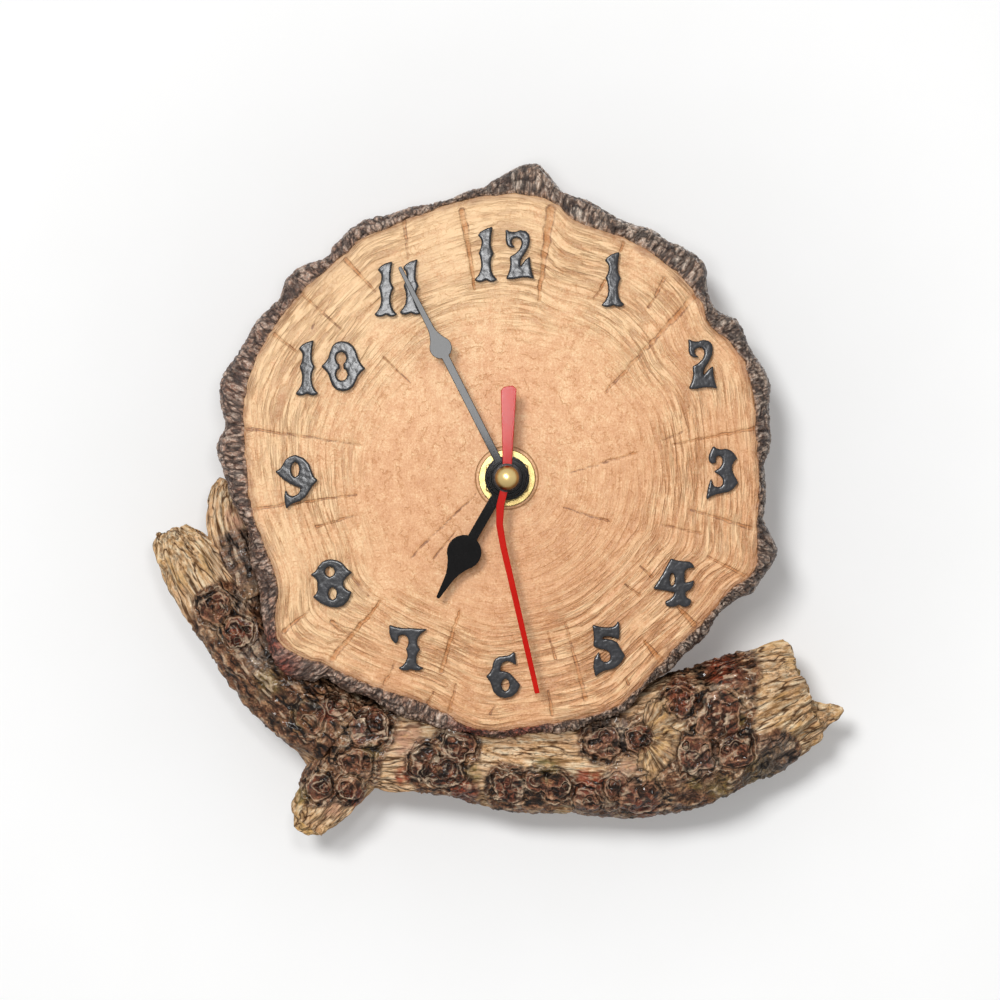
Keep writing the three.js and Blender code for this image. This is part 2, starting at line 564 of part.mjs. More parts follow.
function woodPrism(grow, front, back) {
  const points = clockAngles.map((angle) => {
    const radius = woodRadius(angle) + grow;
    return new THREE.Vector2(radius * Math.sin(angle), radius * Math.cos(angle));
  });
  return slab(new THREE.Shape(points), front, back);
}

// Ridges of bark at a clock angle and a depth, from minus one to one.
function ridges(angle, depth) {
  const [many, few] = BARK_RIDGES;
  const sway = Math.sin(3 * angle) + BARK_TWIST * depth;
  return 0.6 * Math.sin(many * angle + sway) + 0.4 * Math.sin(few * angle - 2 * sway);
}

// The slice with its bark as one body, grown by a gap and ending at a depth.
function barkBody(grow, back) {
  const lip = face - BARK_LIP;
  const rows = [
    [0.15, lip - grow], [0.6, lip + 0.1 * BARK_SLOPE - grow], [0.9, face + 0.45 * BARK_SLOPE],
    [1, face + BARK_SLOPE], [1, face / 2], [1, -BARK_WALL_GAP - BARK_SLOPE / 2], [0.9, back],
  ];
  return loft(rows.map(([share, depth]) => clockAngles.map((angle) => {
    const inner = woodRadius(angle);
    const width = barkRadius(angle) - inner;
    const radius = inner + share * width + grow + BARK_RIDGE * share * ridges(angle, depth);
    return new THREE.Vector3(radius * Math.sin(angle), depth, radius * Math.cos(angle));
  })));
}

const pocket = block(
  -caseHalfWidth - POCKET_CLEARANCE, caseHalfWidth + POCKET_CLEARANCE, pocketFloor, 1,
  caseLow - POCKET_CLEARANCE, hangerHigh + POCKET_CLEARANCE);
const dialHole = rod(BUSHING_RADIUS + FIT_GAP, face - 1, pocketFloor + 1);
piece('wood_slice', cut(woodPrism(0, face, 0), pocket, dialHole), 'wood');
const woodRoom = woodPrism(FIT_GAP, face - BARK_SLOPE, BARK_SLOPE);
piece('bark_rim', cut(barkBody(0, -BARK_WALL_GAP), woodRoom), 'bark');

// Branch
const limbRadii = [BOUGH, LEFT_LIMB, SIDE_TWIG, FOOT_STUB].flat().map(([, , radius]) => radius * sketchScale);
const limbDepth = -(BRANCH_WALL_GAP + BRANCH_FLATNESS * (Math.max(...limbRadii) + FIT_GAP) * 1.1);

// The centre line of a limb, with its radius held in the second coordinate.
const limbLine = (sketch) => new THREE.CatmullRomCurve3(
  sketch.map(([x, z, radius]) => new THREE.Vector3(x, radius, z).multiplyScalar(sketchScale)),
  false, 'catmullrom');

// Humps on a limb at an angle round it and a reach along it, as a share of its radius.
const humps = (angle, reach) => LIMB_HUMPS.reduce(
  (sum, count, i) => sum + LIMB_HUMP * Math.sin(count * angle + LIMB_TWISTS[i] * reach), 0);

function limb(sketch, grow = 0) {
  const line = limbLine(sketch);
  const steps = (sketch.length - 1) * LIMB_STEPS;
  const rings = [];
  let reach = 0;
  let last = line.getPoint(0);
  for (let s = 0; s <= steps; s++) {
    const here = line.getPoint(s / steps);
    reach += Math.hypot(here.x - last.x, here.z - last.z);
    last = here;
    const along = line.getTangent(s / steps).setY(0).normalize();
    const across = new THREE.Vector3(-along.z, 0, along.x);
    rings.push(Array.from({ length: LIMB_SIDES }, (_, i) => {
      const angle = (i * TAU) / LIMB_SIDES;
      const radius = here.y * (1 + humps(angle, reach)) + grow;
      return new THREE.Vector3(here.x, limbDepth + BRANCH_FLATNESS * radius * Math.sin(angle), here.z)
        .addScaledVector(across, radius * Math.cos(angle));
    }));
  }
  return loft(rings);
}

// A knot standing out of the front of a limb.
function knot(sketch, [x, z, radius]) {
  const place = new THREE.Vector2(x, z).multiplyScalar(sketchScale);
  const nearest = limbLine(sketch).getPoints(60).reduce((best, point) => {
    const distance = Math.hypot(point.x - place.x, point.z - place.y);
    return distance < best.distance ? { distance, reach: point.y } : best;
  }, { distance: Infinity, reach: 0 });
  const share = Math.min(nearest.distance / nearest.reach, 1);
  const surface = limbDepth - BRANCH_FLATNESS * nearest.reach * Math.sqrt(1 - share * share);
  const geometry = new THREE.SphereGeometry(radius * sketchScale, ...KNOT_STEPS);
  geometry.translate(place.x, surface + radius * sketchScale * (1 - 2 * KNOT_RISE), place.y);
  return solid(geometry);
}

const knotted = (body, sketch, knots) => join(body, ...knots.map((place) => knot(sketch, place)));
const seat = barkBody(FIT_GAP, BARK_SLOPE);
const bough = join(limb(BOUGH), limb(BOUGH_SPIKE));
piece('bough', cut(knotted(bough, BOUGH, BOUGH_KNOTS), seat), 'branch');

const boughRoom = knotted(join(limb(BOUGH, FIT_GAP), limb(BOUGH_SPIKE, FIT_GAP)), BOUGH, BOUGH_KNOTS);
piece('left_limb', cut(knotted(limb(LEFT_LIMB), LEFT_LIMB, LIMB_KNOTS), seat, boughRoom), 'branch');

const limbRoom = knotted(limb(LEFT_LIMB, FIT_GAP), LEFT_LIMB, LIMB_KNOTS);
piece('side_twig', cut(limb(SIDE_TWIG), seat, limbRoom), 'branch');
piece('foot_stub', cut(knotted(limb(FOOT_STUB), FOOT_STUB, FOOT_KNOTS), boughRoom, limbRoom), 'branch');

// Numerals
function outline(shape, { start, curves }, scale) {
  shape.moveTo(start[0] * scale, start[1] * scale);
  for (const [controlX, controlZ, x, z] of curves) {
    shape.quadraticCurveTo(controlX * scale, controlZ * scale, x * scale, z * scale);
  }
  return shape;
}

const figureScale = NUMERAL_HEIGHT / FIGURE_HEIGHT;
const numeralBack = face - GLUE_GAP;
for (const [name, digit, x, z] of NUMERALS) {
  const figure = FIGURES[digit];
  const front = numeralBack - NUMERAL_THICKNESS;
  const eyes = figure.eyes.map(([eyeX, eyeZ, radiusX, radiusZ]) => {
    const eye = new THREE.Shape().absellipse(
      eyeX * figureScale, eyeZ * figureScale, radiusX * figureScale, radiusZ * figureScale, 0, TAU);
    return slab(eye, front - 1, numeralBack + 1, NUMERAL_CURVE_STEPS + 1);
  });
  const shape = outline(new THREE.Shape(), figure, figureScale);
  const body = cut(slab(shape, front, numeralBack, NUMERAL_CURVE_STEPS), ...eyes);
  piece(name, body, 'numeral').position.set(x * sketchScale, 0, z * sketchScale);
}

// Dial fixing
const threadBore = BUSHING_RADIUS + FIT_GAP;
piece('dial_washer', ring(WASHER_RADIUS, threadBore, washerFront, washerFront + WASHER_THICKNESS), 'brass');
const hexagon = rod(NUT_ACROSS_FLATS / Math.sqrt(3), nutFront, nutFront + NUT_THICKNESS, 6);
piece('dial_nut', cut(hexagon, rod(threadBore, nutFront - 1, washerFront)), 'brass');
piece('gasket', ring(GASKET_RADIUS, threadBore, gasketFront, gasketFront + GASKET_THICKNESS), 'rubber');
const bushingBore = boreFor(HOUR_PIPE_RADIUS, RUNNING_GAP);
piece('bushing', turned([
  [bushingBore, bushingFront], [BUSHING_RADIUS, bushingFront], [BUSHING_RADIUS, at(flangeDepth[0])],
  [BUSHING_FLANGE_RADIUS, at(flangeDepth[0])], [BUSHING_FLANGE_RADIUS, at(flangeDepth[1])],
  [bushingBore, at(flangeDepth[1])], [bushingBore, bushingFront],
]), 'brass');

// Hanger: a plate behind the dial, a fold over the movement and a tab with a keyhole
const tabBack = at(movementDepth);
const tabFront = tabBack - HANGER_THICKNESS;
const hangerHalf = HANGER_WIDTH / 2;
const keyholeSlot = KEYHOLE_SLOT / 2;
const keyhole = new THREE.Shape();
keyhole.absarc(0, keyholeHeight + KEYHOLE_RISE, keyholeSlot, 0, TAU / 2);
const neckAngle = Math.acos(keyholeSlot / KEYHOLE_RADIUS);
keyhole.absarc(0, keyholeHeight, KEYHOLE_RADIUS, TAU / 2 - neckAngle, TAU + neckAngle);
piece('hanger', cut(
  join(
    block(-hangerHalf, hangerHalf, hangerFront, hangerFront + HANGER_THICKNESS, -HANGER_DROP, hangerTop),
    block(-hangerHalf, hangerHalf, hangerFront, tabBack, hangerTop - HANGER_THICKNESS, hangerTop),
    block(-hangerHalf, hangerHalf, tabFront, tabBack, hangerTop - HANGER_THICKNESS, hangerHigh)),
  rod(threadBore, hangerFront - 1, movementFront),
  slab(keyhole, tabFront - 1, tabBack + 1)), 'steel');

// Hands

// A spade hand pointing up: a hub, a shank, a round bulb and a lance that narrows to its tip.
function spadeHand({ length, bulbAt, bulbRadius, shankWidth, hubRadius, bore, back }) {
  const shank = shankWidth / 2;
  const tip = HAND_TIP_WIDTH / 2;
  const lance = bulbAt + bulbRadius * 0.55;
  const shape = new THREE.Shape();
  shape.moveTo(shank, 0);
  shape.lineTo(shank, bulbAt);
  shape.lineTo(bulbRadius * 0.8, lance);
  shape.quadraticCurveTo(shank, bulbAt + bulbRadius * 1.3, shank * 0.85, bulbAt + bulbRadius * 1.9);
  shape.lineTo(tip, length - tip);
  shape.absarc(0, length - tip, tip, 0, TAU / 2);
  shape.lineTo(-shank * 0.85, bulbAt + bulbRadius * 1.9);
  shape.quadraticCurveTo(-shank, bulbAt + bulbRadius * 1.3, -bulbRadius * 0.8, lance);
  shape.lineTo(-shank, bulbAt);
  shape.lineTo(-shank, 0);
  const front = back - HAND_THICKNESS;
  const bulb = rod(bulbRadius, front, back).translate(0, 0, bulbAt);
  const blade = join(slab(shape, front, back, CORNER_STEPS), rod(hubRadius, front, back), bulb);
  return cut(blade, rod(bore, front - 1, back + 1));
}

piece('hour_hand', spadeHand({
  length: HOUR_HAND_LENGTH, bulbAt: HOUR_BULB_AT, bulbRadius: HOUR_BULB_RADIUS, shankWidth: HOUR_SHANK_WIDTH,
  hubRadius: HOUR_HUB_RADIUS, bore: boreFor(HOUR_PIPE_RADIUS, PRESS_GAP), back: hourHandBack,
}), 'hand', pivot(arborAt, HOUR_HAND_ANGLE));
piece('minute_hand', spadeHand({
  length: MINUTE_HAND_LENGTH, bulbAt: MINUTE_BULB_AT, bulbRadius: MINUTE_BULB_RADIUS,
  shankWidth: MINUTE_SHANK_WIDTH, hubRadius: MINUTE_HUB_RADIUS,
  bore: boreFor(MINUTE_TUBE_RADIUS, PRESS_GAP), back: minuteHandBack,
}), 'hand', pivot(arborAt, MINUTE_HAND_ANGLE));

// The second hand, bowed beside its hub, with a wide tail. Each station is a reach, a bow and a width.
const secondStations = [
  [-SECOND_TAIL_LENGTH, -SECOND_BEND, SECOND_TAIL_WIDTH * 0.55],
  [-SECOND_TAIL_LENGTH * 0.96, -SECOND_BEND, SECOND_TAIL_WIDTH], [0, 0, SECOND_WAIST_WIDTH],
  [SECOND_HAND_LENGTH * 0.12, SECOND_BEND * 0.75, SECOND_WAIST_WIDTH],
  [SECOND_HAND_LENGTH * 0.21, SECOND_BEND, SECOND_WAIST_WIDTH * 0.85],
  [SECOND_HAND_LENGTH * 0.31, SECOND_BEND * 0.95, SECOND_WAIST_WIDTH * 0.8],
  [SECOND_HAND_LENGTH, 0, SECOND_TIP_WIDTH],
];
const secondEdge = [
  ...secondStations.map(([reach, bow, width]) => new THREE.Vector2(bow + width / 2, reach)),
  ...secondStations.toReversed().map(([reach, bow, width]) => new THREE.Vector2(bow - width / 2, reach)),
];
const secondHand = pivot(arborAt, SECOND_HAND_ANGLE);
piece('second_hand', cut(
  join(
    slab(new THREE.Shape(secondEdge), secondArborFront, secondHandBack),
    rod(SECOND_HUB_RADIUS, secondArborFront, secondHandBack)),
  rod(boreFor(SECOND_ARBOR_RADIUS, PRESS_GAP), secondArborFront - 1, secondHandBack + 1),
), 'redHand', secondHand);

// The ball cap, ground flat where it sits on the second hand
const ballBack = secondArborFront - GLUE_GAP;
const ball = new THREE.SphereGeometry(BALL_RADIUS, ROUND_STEPS, ROUND_STEPS / 2);
ball.translate(0, ballBack - BALL_SEAT, 0);
const ballFlat = rod(2 * BALL_RADIUS, ballBack, ballBack + BALL_RADIUS);
piece('ball_cap', cut(solid(ball), ballFlat), 'brass', secondHand);

// Train

// Phase of a gear that meshes at rest with another gear whose phase is known.
function meshPhase(otherTeeth, otherPhase, teeth, from, to) {
  const direction = Math.atan2(to.y - from.y, to.x - from.x);
  const turns = ((direction - otherPhase) * otherTeeth) / TAU;
  return direction + Math.PI + ((turns - Math.floor(turns) + 0.5) * TAU) / teeth;
}

function gear(teeth, module, phase, [front, back]) {
  const corners = [
    [-TOOTH.dedendum, -TOOTH.rootShare], [TOOTH.addendum, -TOOTH.tipShare],
    [TOOTH.addendum, TOOTH.tipShare], [-TOOTH.dedendum, TOOTH.rootShare],
  ];
  const points = [];
  for (let tooth = 0; tooth < teeth; tooth++) {
    for (const [height, share] of corners) {
      const angle = phase + ((tooth + share) * TAU) / teeth;
      const radius = module * (teeth / 2 + height);
      points.push(new THREE.Vector2(radius * Math.cos(angle), radius * Math.sin(angle)));
    }
  }
  return slab(new THREE.Shape(points), at(front), at(back));
}

const thirdPhase = meshPhase(TEETH.secondPinion, 0, TEETH.thirdWheel, arborAt, thirdAt);
const thirdPinionPhase = meshPhase(TEETH.centreWheel, 0, TEETH.thirdPinion, arborAt, thirdAt);
const intermediatePinionPhase = meshPhase(
  TEETH.secondWheel, 0, TEETH.intermediatePinion, arborAt, intermediateAt);
const rotorPhase = meshPhase(TEETH.intermediateWheel, 0, TEETH.rotorPinion, intermediateAt, rotorAt);
const motionPhase = meshPhase(TEETH.cannonPinion, 0, TEETH.motionWheel, arborAt, motionAt);
const motionPinionPhase = meshPhase(TEETH.hourWheel, 0, TEETH.motionPinion, arborAt, motionAt);
const settingPhase = meshPhase(TEETH.motionWheel, motionPhase, TEETH.settingGear, motionAt, settingAt);

const postBore = (front, back) => rod(boreFor(POST_RADIUS, RUNNING_GAP), at(front) - 1, at(back) + 1);

piece('hour_wheel', cut(
  join(
    gear(TEETH.hourWheel, motionPinionModule, 0, hourDepth),
    rod(HOUR_PIPE_RADIUS, hourPipeFront, at(hourDepth[1]))),
  rod(boreFor(MINUTE_TUBE_RADIUS, RUNNING_GAP), hourPipeFront - 1, at(hourDepth[1]) + 1)), 'palePlastic');
piece('centre_wheel', cut(
  join(
    gear(TEETH.centreWheel, thirdPinionModule, 0, centreDepth),
    gear(TEETH.cannonPinion, MOTION_MODULE, 0, [motionDepth[0], centreDepth[1]]),
    rod(MINUTE_TUBE_RADIUS, minuteTubeFront, at(centreDepth[1]))),
  rod(boreFor(SECOND_ARBOR_RADIUS, RUNNING_GAP), minuteTubeFront - 1, at(centreDepth[1]) + 1),
), 'palePlastic');
piece('second_wheel', join(
  gear(TEETH.secondWheel, INTERMEDIATE_MODULE, 0, secondDepth),
  gear(TEETH.secondPinion, THIRD_MODULE, 0, [thirdDepth[0], secondDepth[1]]),
  rod(SECOND_ARBOR_RADIUS, secondArborFront, at(coverDepth))), 'palePlastic');
piece('third_wheel', cut(
  join(
    gear(TEETH.thirdWheel, THIRD_MODULE, thirdPhase, thirdDepth),
    gear(TEETH.thirdPinion, thirdPinionModule, thirdPinionPhase, [centreDepth[0], thirdDepth[1]])),
  postBore(centreDepth[0], thirdDepth[1])), 'palePlastic', pivot(thirdAt));
piece('motion_wheel', cut(
  join(
    gear(TEETH.motionWheel, MOTION_MODULE, motionPhase, motionDepth),
    gear(TEETH.motionPinion, motionPinionModule, motionPinionPhase, [hourDepth[0], motionDepth[1]])),
  postBore(hourDepth[0], motionDepth[1])), 'palePlastic', pivot(motionAt));
piece('intermediate_wheel', cut(
  join(
    gear(TEETH.intermediateWheel, ROTOR_MODULE, 0, intermediateDepth),
    gear(
      TEETH.intermediatePinion, INTERMEDIATE_MODULE, intermediatePinionPhase,
      [secondDepth[0], intermediateDepth[1]])),
  postBore(secondDepth[0], intermediateDepth[1])), 'palePlastic', pivot(intermediateAt));
piece('rotor', cut(
  join(
    gear(TEETH.rotorPinion, ROTOR_MODULE, rotorPhase, [intermediateDepth[0], magnetDepth[1]]),
    rod(MAGNET_RADIUS, at(magnetDepth[0]), at(magnetDepth[1]))),
  postBore(intermediateDepth[0], magnetDepth[1])), 'magnet', pivot(rotorAt));

// Motor
const coilLeft = rotorAt.x - COIL_LENGTH / 2;
const coilRight = rotorAt.x + COIL_LENGTH / 2;
const statorHalf = MAGNET_RADIUS + MAGNET_AIR_GAP + STATOR_NECK;
const statorHigh = coilHeight + BOBBIN_RADIUS;
const legInset = COIL_LENGTH / 2 + GLUE_GAP;
const statorOutline = [
  [-legInset - STATOR_LEG_WIDTH, rotorAt.y - statorHalf],
  [legInset + STATOR_LEG_WIDTH, rotorAt.y - statorHalf], [legInset + STATOR_LEG_WIDTH, statorHigh],
  [legInset, statorHigh], [legInset, rotorAt.y + statorHalf], [-legInset, rotorAt.y + statorHalf],
  [-legInset, statorHigh], [-legInset - STATOR_LEG_WIDTH, statorHigh],
].map(([x, z]) => new THREE.Vector2(rotorAt.x + x, z));
const statorFront = at(coilDepth - STATOR_THICKNESS / 2);
const statorBack = statorFront + STATOR_THICKNESS;
const magnetHole = rod(MAGNET_RADIUS + MAGNET_AIR_GAP, statorFront - 1, statorBack + 1)
  .translate(rotorAt.x, 0, rotorAt.y);
piece('stator', cut(slab(new THREE.Shape(statorOutline), statorFront, statorBack), magnetHole), 'steel');

// A turned piece along the coil's axis, its profile given as radius and distance from the coil's left end.
function alongCoil(profile) {
  const points = profile.map(([radius, reach]) => new THREE.Vector2(radius, reach));
  const geometry = new THREE.LatheGeometry(points, ROUND_STEPS / 2);
  geometry.rotateZ(-Math.PI / 2);
  geometry.translate(coilLeft, at(coilDepth), coilHeight);
  return solid(geometry);
}

const coreBore = CORE_RADIUS + RUNNING_GAP;
const flangeIn = COIL_LENGTH - BOBBIN_WALL;
piece('coil_bobbin', alongCoil([
  [coreBore, 0], [BOBBIN_RADIUS, 0], [BOBBIN_RADIUS, BOBBIN_WALL], [BOBBIN_TUBE_RADIUS, BOBBIN_WALL],
  [BOBBIN_TUBE_RADIUS, flangeIn], [BOBBIN_RADIUS, flangeIn], [BOBBIN_RADIUS, COIL_LENGTH],
  [coreBore, COIL_LENGTH], [coreBore, 0],
]), 'palePlastic');
const windingBore = BOBBIN_TUBE_RADIUS + RUNNING_GAP;
const windingEnds = [BOBBIN_WALL + GLUE_GAP, flangeIn - GLUE_GAP];
piece('coil_winding', alongCoil([
  [windingBore, windingEnds[0]], [WINDING_RADIUS, windingEnds[0]], [WINDING_RADIUS, windingEnds[1]],
  [windingBore, windingEnds[1]], [windingBore, windingEnds[0]],
]), 'copper');
piece('coil_core', alongCoil([
  [0, 0], [CORE_RADIUS, 0], [CORE_RADIUS, COIL_LENGTH], [0, COIL_LENGTH],
]), 'steel');

// Circuit
const boardLeft = -roomHalfWidth + GLUE_GAP;
const boardRight = Math.min(boardLeft + BOARD_WIDTH, coilLeft - STATOR_LEG_WIDTH - 2 * GLUE_GAP);
const boardLow = trainLow + TRAIN_CLEARANCE;
const boardFront = at(coilDepth);
const boardMiddle = boardLow + BOARD_HEIGHT / 2;
piece('circuit_board', block(
  boardLeft, boardRight, boardFront, boardFront + BOARD_THICKNESS, boardLow, boardLow + BOARD_HEIGHT,
), 'board');
const crystal = new THREE.CylinderGeometry(CRYSTAL_RADIUS, CRYSTAL_RADIUS, CRYSTAL_LENGTH, ROUND_STEPS / 2);
crystal.rotateX(Math.PI / 2);
crystal.translate(
  (boardLeft + boardRight) / 2, boardFront - GLUE_GAP - CRYSTAL_RADIUS,
  boardMiddle + CRYSTAL_LENGTH / 2 + GLUE_GAP);
piece('quartz_crystal', solid(crystal), 'steel');
const chipLeft = (boardLeft + boardRight - CHIP_SIZE) / 2;
piece('clock_chip', block(
  chipLeft, chipLeft + CHIP_SIZE, boardFront - GLUE_GAP - CHIP_THICKNESS, boardFront - GLUE_GAP,
  boardMiddle - CHIP_SIZE - GLUE_GAP, boardMiddle - GLUE_GAP), 'blackPlastic');

// Case: a tray with posts for the train and the board, and a bay for the cell
const caseOutline = roundedRectangle(-caseHalfWidth, caseHalfWidth, caseLow, caseHigh, CASE_CORNER);
const trainRoom = block(
  -roomHalfWidth, roomHalfWidth, at(CASE_WALL), at(movementDepth), trainLow, caseHigh - CASE_WALL);
const cellBay = block(
  -roomHalfWidth, roomHalfWidth, at(CASE_WALL), at(movementDepth), caseLow + CASE_WALL, trainLow - PARTITION);
function postUp(radius, place, depth) {
  return rod(radius, at(CASE_WALL / 2), at(depth)).translate(place.x, 0, place.y);
}
const boardPostDepth = coilDepth - GLUE_GAP;
const boardPostAt = (z) => new THREE.Vector2(boardLeft + BOARD_POST_RADIUS + GLUE_GAP, z);
piece('front_case', join(
  cut(
    slab(caseOutline, movementFront, at(coverDepth), CORNER_STEPS), trainRoom, cellBay,
    rod(BUSHING_RADIUS + GLUE_GAP, movementFront - 1, at(CASE_WALL) + 1)),
  postUp(POST_RADIUS, thirdAt, thirdDepth[1]), postUp(POST_RADIUS, motionAt, motionDepth[1]),
  postUp(BOARD_POST_RADIUS, boardPostAt(boardLow + 2 * BOARD_POST_RADIUS), boardPostDepth),
  postUp(BOARD_POST_RADIUS, boardPostAt(boardLow + BOARD_HEIGHT - 2 * BOARD_POST_RADIUS), boardPostDepth),
), 'blackPlastic');

const coverFront = at(coverDepth + GLUE_GAP);
const coverBack = at(movementDepth);
function postDown(place, depth) {
  return rod(POST_RADIUS, at(depth), coverFront + CASE_WALL / 2).translate(place.x, 0, place.y);
}
const knobHole = rod(boreFor(KNOB_SHAFT_RADIUS, RUNNING_GAP), coverFront - 1, coverBack + 1)
  .translate(settingAt.x, 0, settingAt.y);
const coverLow = trainLow - PARTITION;
const coverOutline = roundedRectangle(-caseHalfWidth, caseHalfWidth, coverLow, caseHigh, CASE_CORNER);
piece('rear_cover', join(
  cut(slab(coverOutline, coverFront, coverBack, CORNER_STEPS), knobHole),
  postDown(intermediateAt, secondDepth[0]), postDown(rotorAt, intermediateDepth[0])), 'blackPlastic');

// Setting knob: its gear meets the motion wheel and its fluted head stands behind the cover
const fluted = Array.from({ length: 2 * KNOB_FLUTES }, (_, i) => {
  const radius = KNOB_RADIUS - (i % 2) * KNOB_FLUTE_DEPTH;
  const angle = (i * TAU) / (2 * KNOB_FLUTES);
  return new THREE.Vector2(radius * Math.cos(angle), radius * Math.sin(angle));
});
piece('setting_knob', join(
  gear(TEETH.settingGear, MOTION_MODULE, settingPhase, motionDepth),
  rod(KNOB_SHAFT_RADIUS, at(motionDepth[0]), at(knobDepth[1])),
  slab(new THREE.Shape(fluted), at(knobDepth[0]), at(knobDepth[1]))), 'blackPlastic', pivot(settingAt));

// Cell, lying across the bay with its button to the left, and its contacts
const cellDepth = CASE_WALL + CELL_CLEARANCE + CELL_DIAMETER / 2;
const cellLeft = -roomHalfWidth + CONTACT_THICKNESS + 2 * GLUE_GAP;
const cellProfile = [
  [0, 0], [CELL_BUTTON_RADIUS, 0], [CELL_BUTTON_RADIUS, CELL_BUTTON_LENGTH],
  [CELL_DIAMETER / 2, CELL_BUTTON_LENGTH], [CELL_DIAMETER / 2, CELL_LENGTH], [0, CELL_LENGTH],
].map(([radius, reach]) => new THREE.Vector2(radius, reach));
const cell = new THREE.LatheGeometry(cellProfile, ROUND_STEPS);
cell.rotateZ(-Math.PI / 2);
cell.translate(cellLeft, at(cellDepth), cellHeight);
piece('cell', solid(cell), 'cell');

const contactLow = cellHeight - CONTACT_WIDTH / 2;
const contactHigh = cellHeight + CONTACT_WIDTH / 2;
const contactFront = at(CASE_WALL + GLUE_GAP);
const plateLeft = -roomHalfWidth + GLUE_GAP;
piece('positive_contact', block(
  plateLeft, plateLeft + CONTACT_THICKNESS, contactFront, at(coverDepth), contactLow, contactHigh), 'steel');

// The negative contact is a leaf that bows from the end wall towards the cell.
const leafWall = roomHalfWidth - GLUE_GAP;
const leafBow = leafWall - (cellLeft + CELL_LENGTH + GLUE_GAP);
const leafMiddle = (contactFront + at(coverDepth)) / 2;
const leafControl = leafWall - 2 * leafBow + CONTACT_THICKNESS;
const leaf = new THREE.Shape();
leaf.moveTo(leafWall, contactFront);
leaf.quadraticCurveTo(leafControl + CONTACT_THICKNESS, leafMiddle, leafWall, at(coverDepth));
leaf.lineTo(leafWall - CONTACT_THICKNESS, at(coverDepth));
leaf.quadraticCurveTo(leafControl, leafMiddle, leafWall - CONTACT_THICKNESS, contactFront);
const leafGeometry = new THREE.ExtrudeGeometry(
  leaf, { depth: CONTACT_WIDTH, bevelEnabled: false, curveSegments: CORNER_STEPS });
leafGeometry.translate(0, 0, contactLow);
piece('negative_contact', solid(leafGeometry), 'steel');

// The origin is the nail seat, above the arbor.
clock.position.z = -nailHeight;
const root = new THREE.Group();
root.add(clock);

export default root;
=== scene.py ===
"""Looks of the log slice wall clock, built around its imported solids.

Sizes are in millimetres in the dial's own frame: x to the right and z up from the arbor, and y back
towards the wall, which lies at zero. Ground turns them into the row frame in metres.
"""

import json
import logging
from collections.abc import Callable
from dataclasses import dataclass, field
from enum import Enum
from functools import cached_property
from math import atan, pi, radians, tau

import bmesh
import bpy
import numpy as np
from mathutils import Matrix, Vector, noise


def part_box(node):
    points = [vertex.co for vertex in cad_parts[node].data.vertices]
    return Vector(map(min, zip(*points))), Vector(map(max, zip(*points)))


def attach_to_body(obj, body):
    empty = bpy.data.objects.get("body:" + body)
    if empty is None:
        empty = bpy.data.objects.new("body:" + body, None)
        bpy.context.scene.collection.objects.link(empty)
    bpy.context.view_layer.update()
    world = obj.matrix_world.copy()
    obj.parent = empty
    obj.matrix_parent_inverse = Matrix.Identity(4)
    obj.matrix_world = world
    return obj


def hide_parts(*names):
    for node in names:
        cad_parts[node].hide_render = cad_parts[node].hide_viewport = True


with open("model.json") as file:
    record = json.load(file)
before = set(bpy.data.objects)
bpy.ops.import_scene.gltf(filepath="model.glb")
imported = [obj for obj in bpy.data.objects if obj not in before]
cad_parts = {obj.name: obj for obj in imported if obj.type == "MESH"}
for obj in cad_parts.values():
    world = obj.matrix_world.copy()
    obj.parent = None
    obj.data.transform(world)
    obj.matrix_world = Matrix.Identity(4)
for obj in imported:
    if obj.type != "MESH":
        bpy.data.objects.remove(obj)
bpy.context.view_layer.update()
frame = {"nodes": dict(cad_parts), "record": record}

LOG = logging.getLogger("clock")
MILLI = 1000.0
MERGE = 1e-6
# Degrees: edges past CREASE stay sharp when shaded, and edges past SHARP are eased.
CREASE = 40.0
SHARP = 30.0
# Cell noise: how far apart the seeds are read, so that neighbours get unlike numbers.
SEED_SCALE = 7.31
# Ridged noise: fall-off, step between layers, layers, offset and gain.
WRINKLES = (0.9, 2.1, 3, 1.0, 2.0)

Values = np.ndarray
Place = tuple[float, float]
Station = tuple[float, float, float]


# Shared frame and small helpers

@dataclass(frozen=True)
class Ground:
    """The dial's frame inside the row frame.

    Attributes:
        arbor: Row-frame point of the arbor on the wall, in metres.
        face: Depth of the sawn face, in millimetres.
    """

    arbor: tuple[float, float, float]
    face: float

    @classmethod
    def from_solids(cls) -> "Ground":
        """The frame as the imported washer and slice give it."""
        low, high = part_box("dial_washer")
        return cls(((low.x + high.x) / 2, 0.0, (low.z + high.z) / 2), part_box("wood_slice")[0].y * MILLI)

    def row(self, points: Values) -> Values:
        """Points in millimetres from the arbor as row-frame metres."""
        return points / MILLI + np.array(self.arbor)

    def point(self, x: float, y: float, z: float) -> Vector:
        """One point in millimetres from the arbor as a row-frame vector."""
        return Vector(self.row(np.array((x, y, z))))


GROUND = Ground.from_solids()


def stack(*columns: Values) -> Values:
    """Equal columns of numbers as the rows of one array."""
    return np.stack(np.broadcast_arrays(*columns), axis=-1).astype(float)


def smooth(low: float, high: float, values: Values) -> Values:
    """A soft step from 0 at low to 1 at high."""
    share = np.clip((values - low) / (high - low), 0, 1)
    return share * share * (3 - 2 * share)


def hill(distance: Values, width: float) -> Values:
    """A bell that is 1 at no distance and nearly 0 past twice the width."""
    return np.exp(-((distance / width) ** 2))


def spread(share: Values, weight: Values) -> Values:
    """Shares from 0 to 1, moved so that they crowd where the weight is high.

    Args:
        share: Even shares from 0 to 1.
        weight: Weights at even steps from 0 to 1.

    Returns:
        The shares, moved.
    """
    total = np.concatenate([[0.0], np.cumsum(weight)])
    return np.interp(share, total / total[-1], np.linspace(0, 1, len(total)))


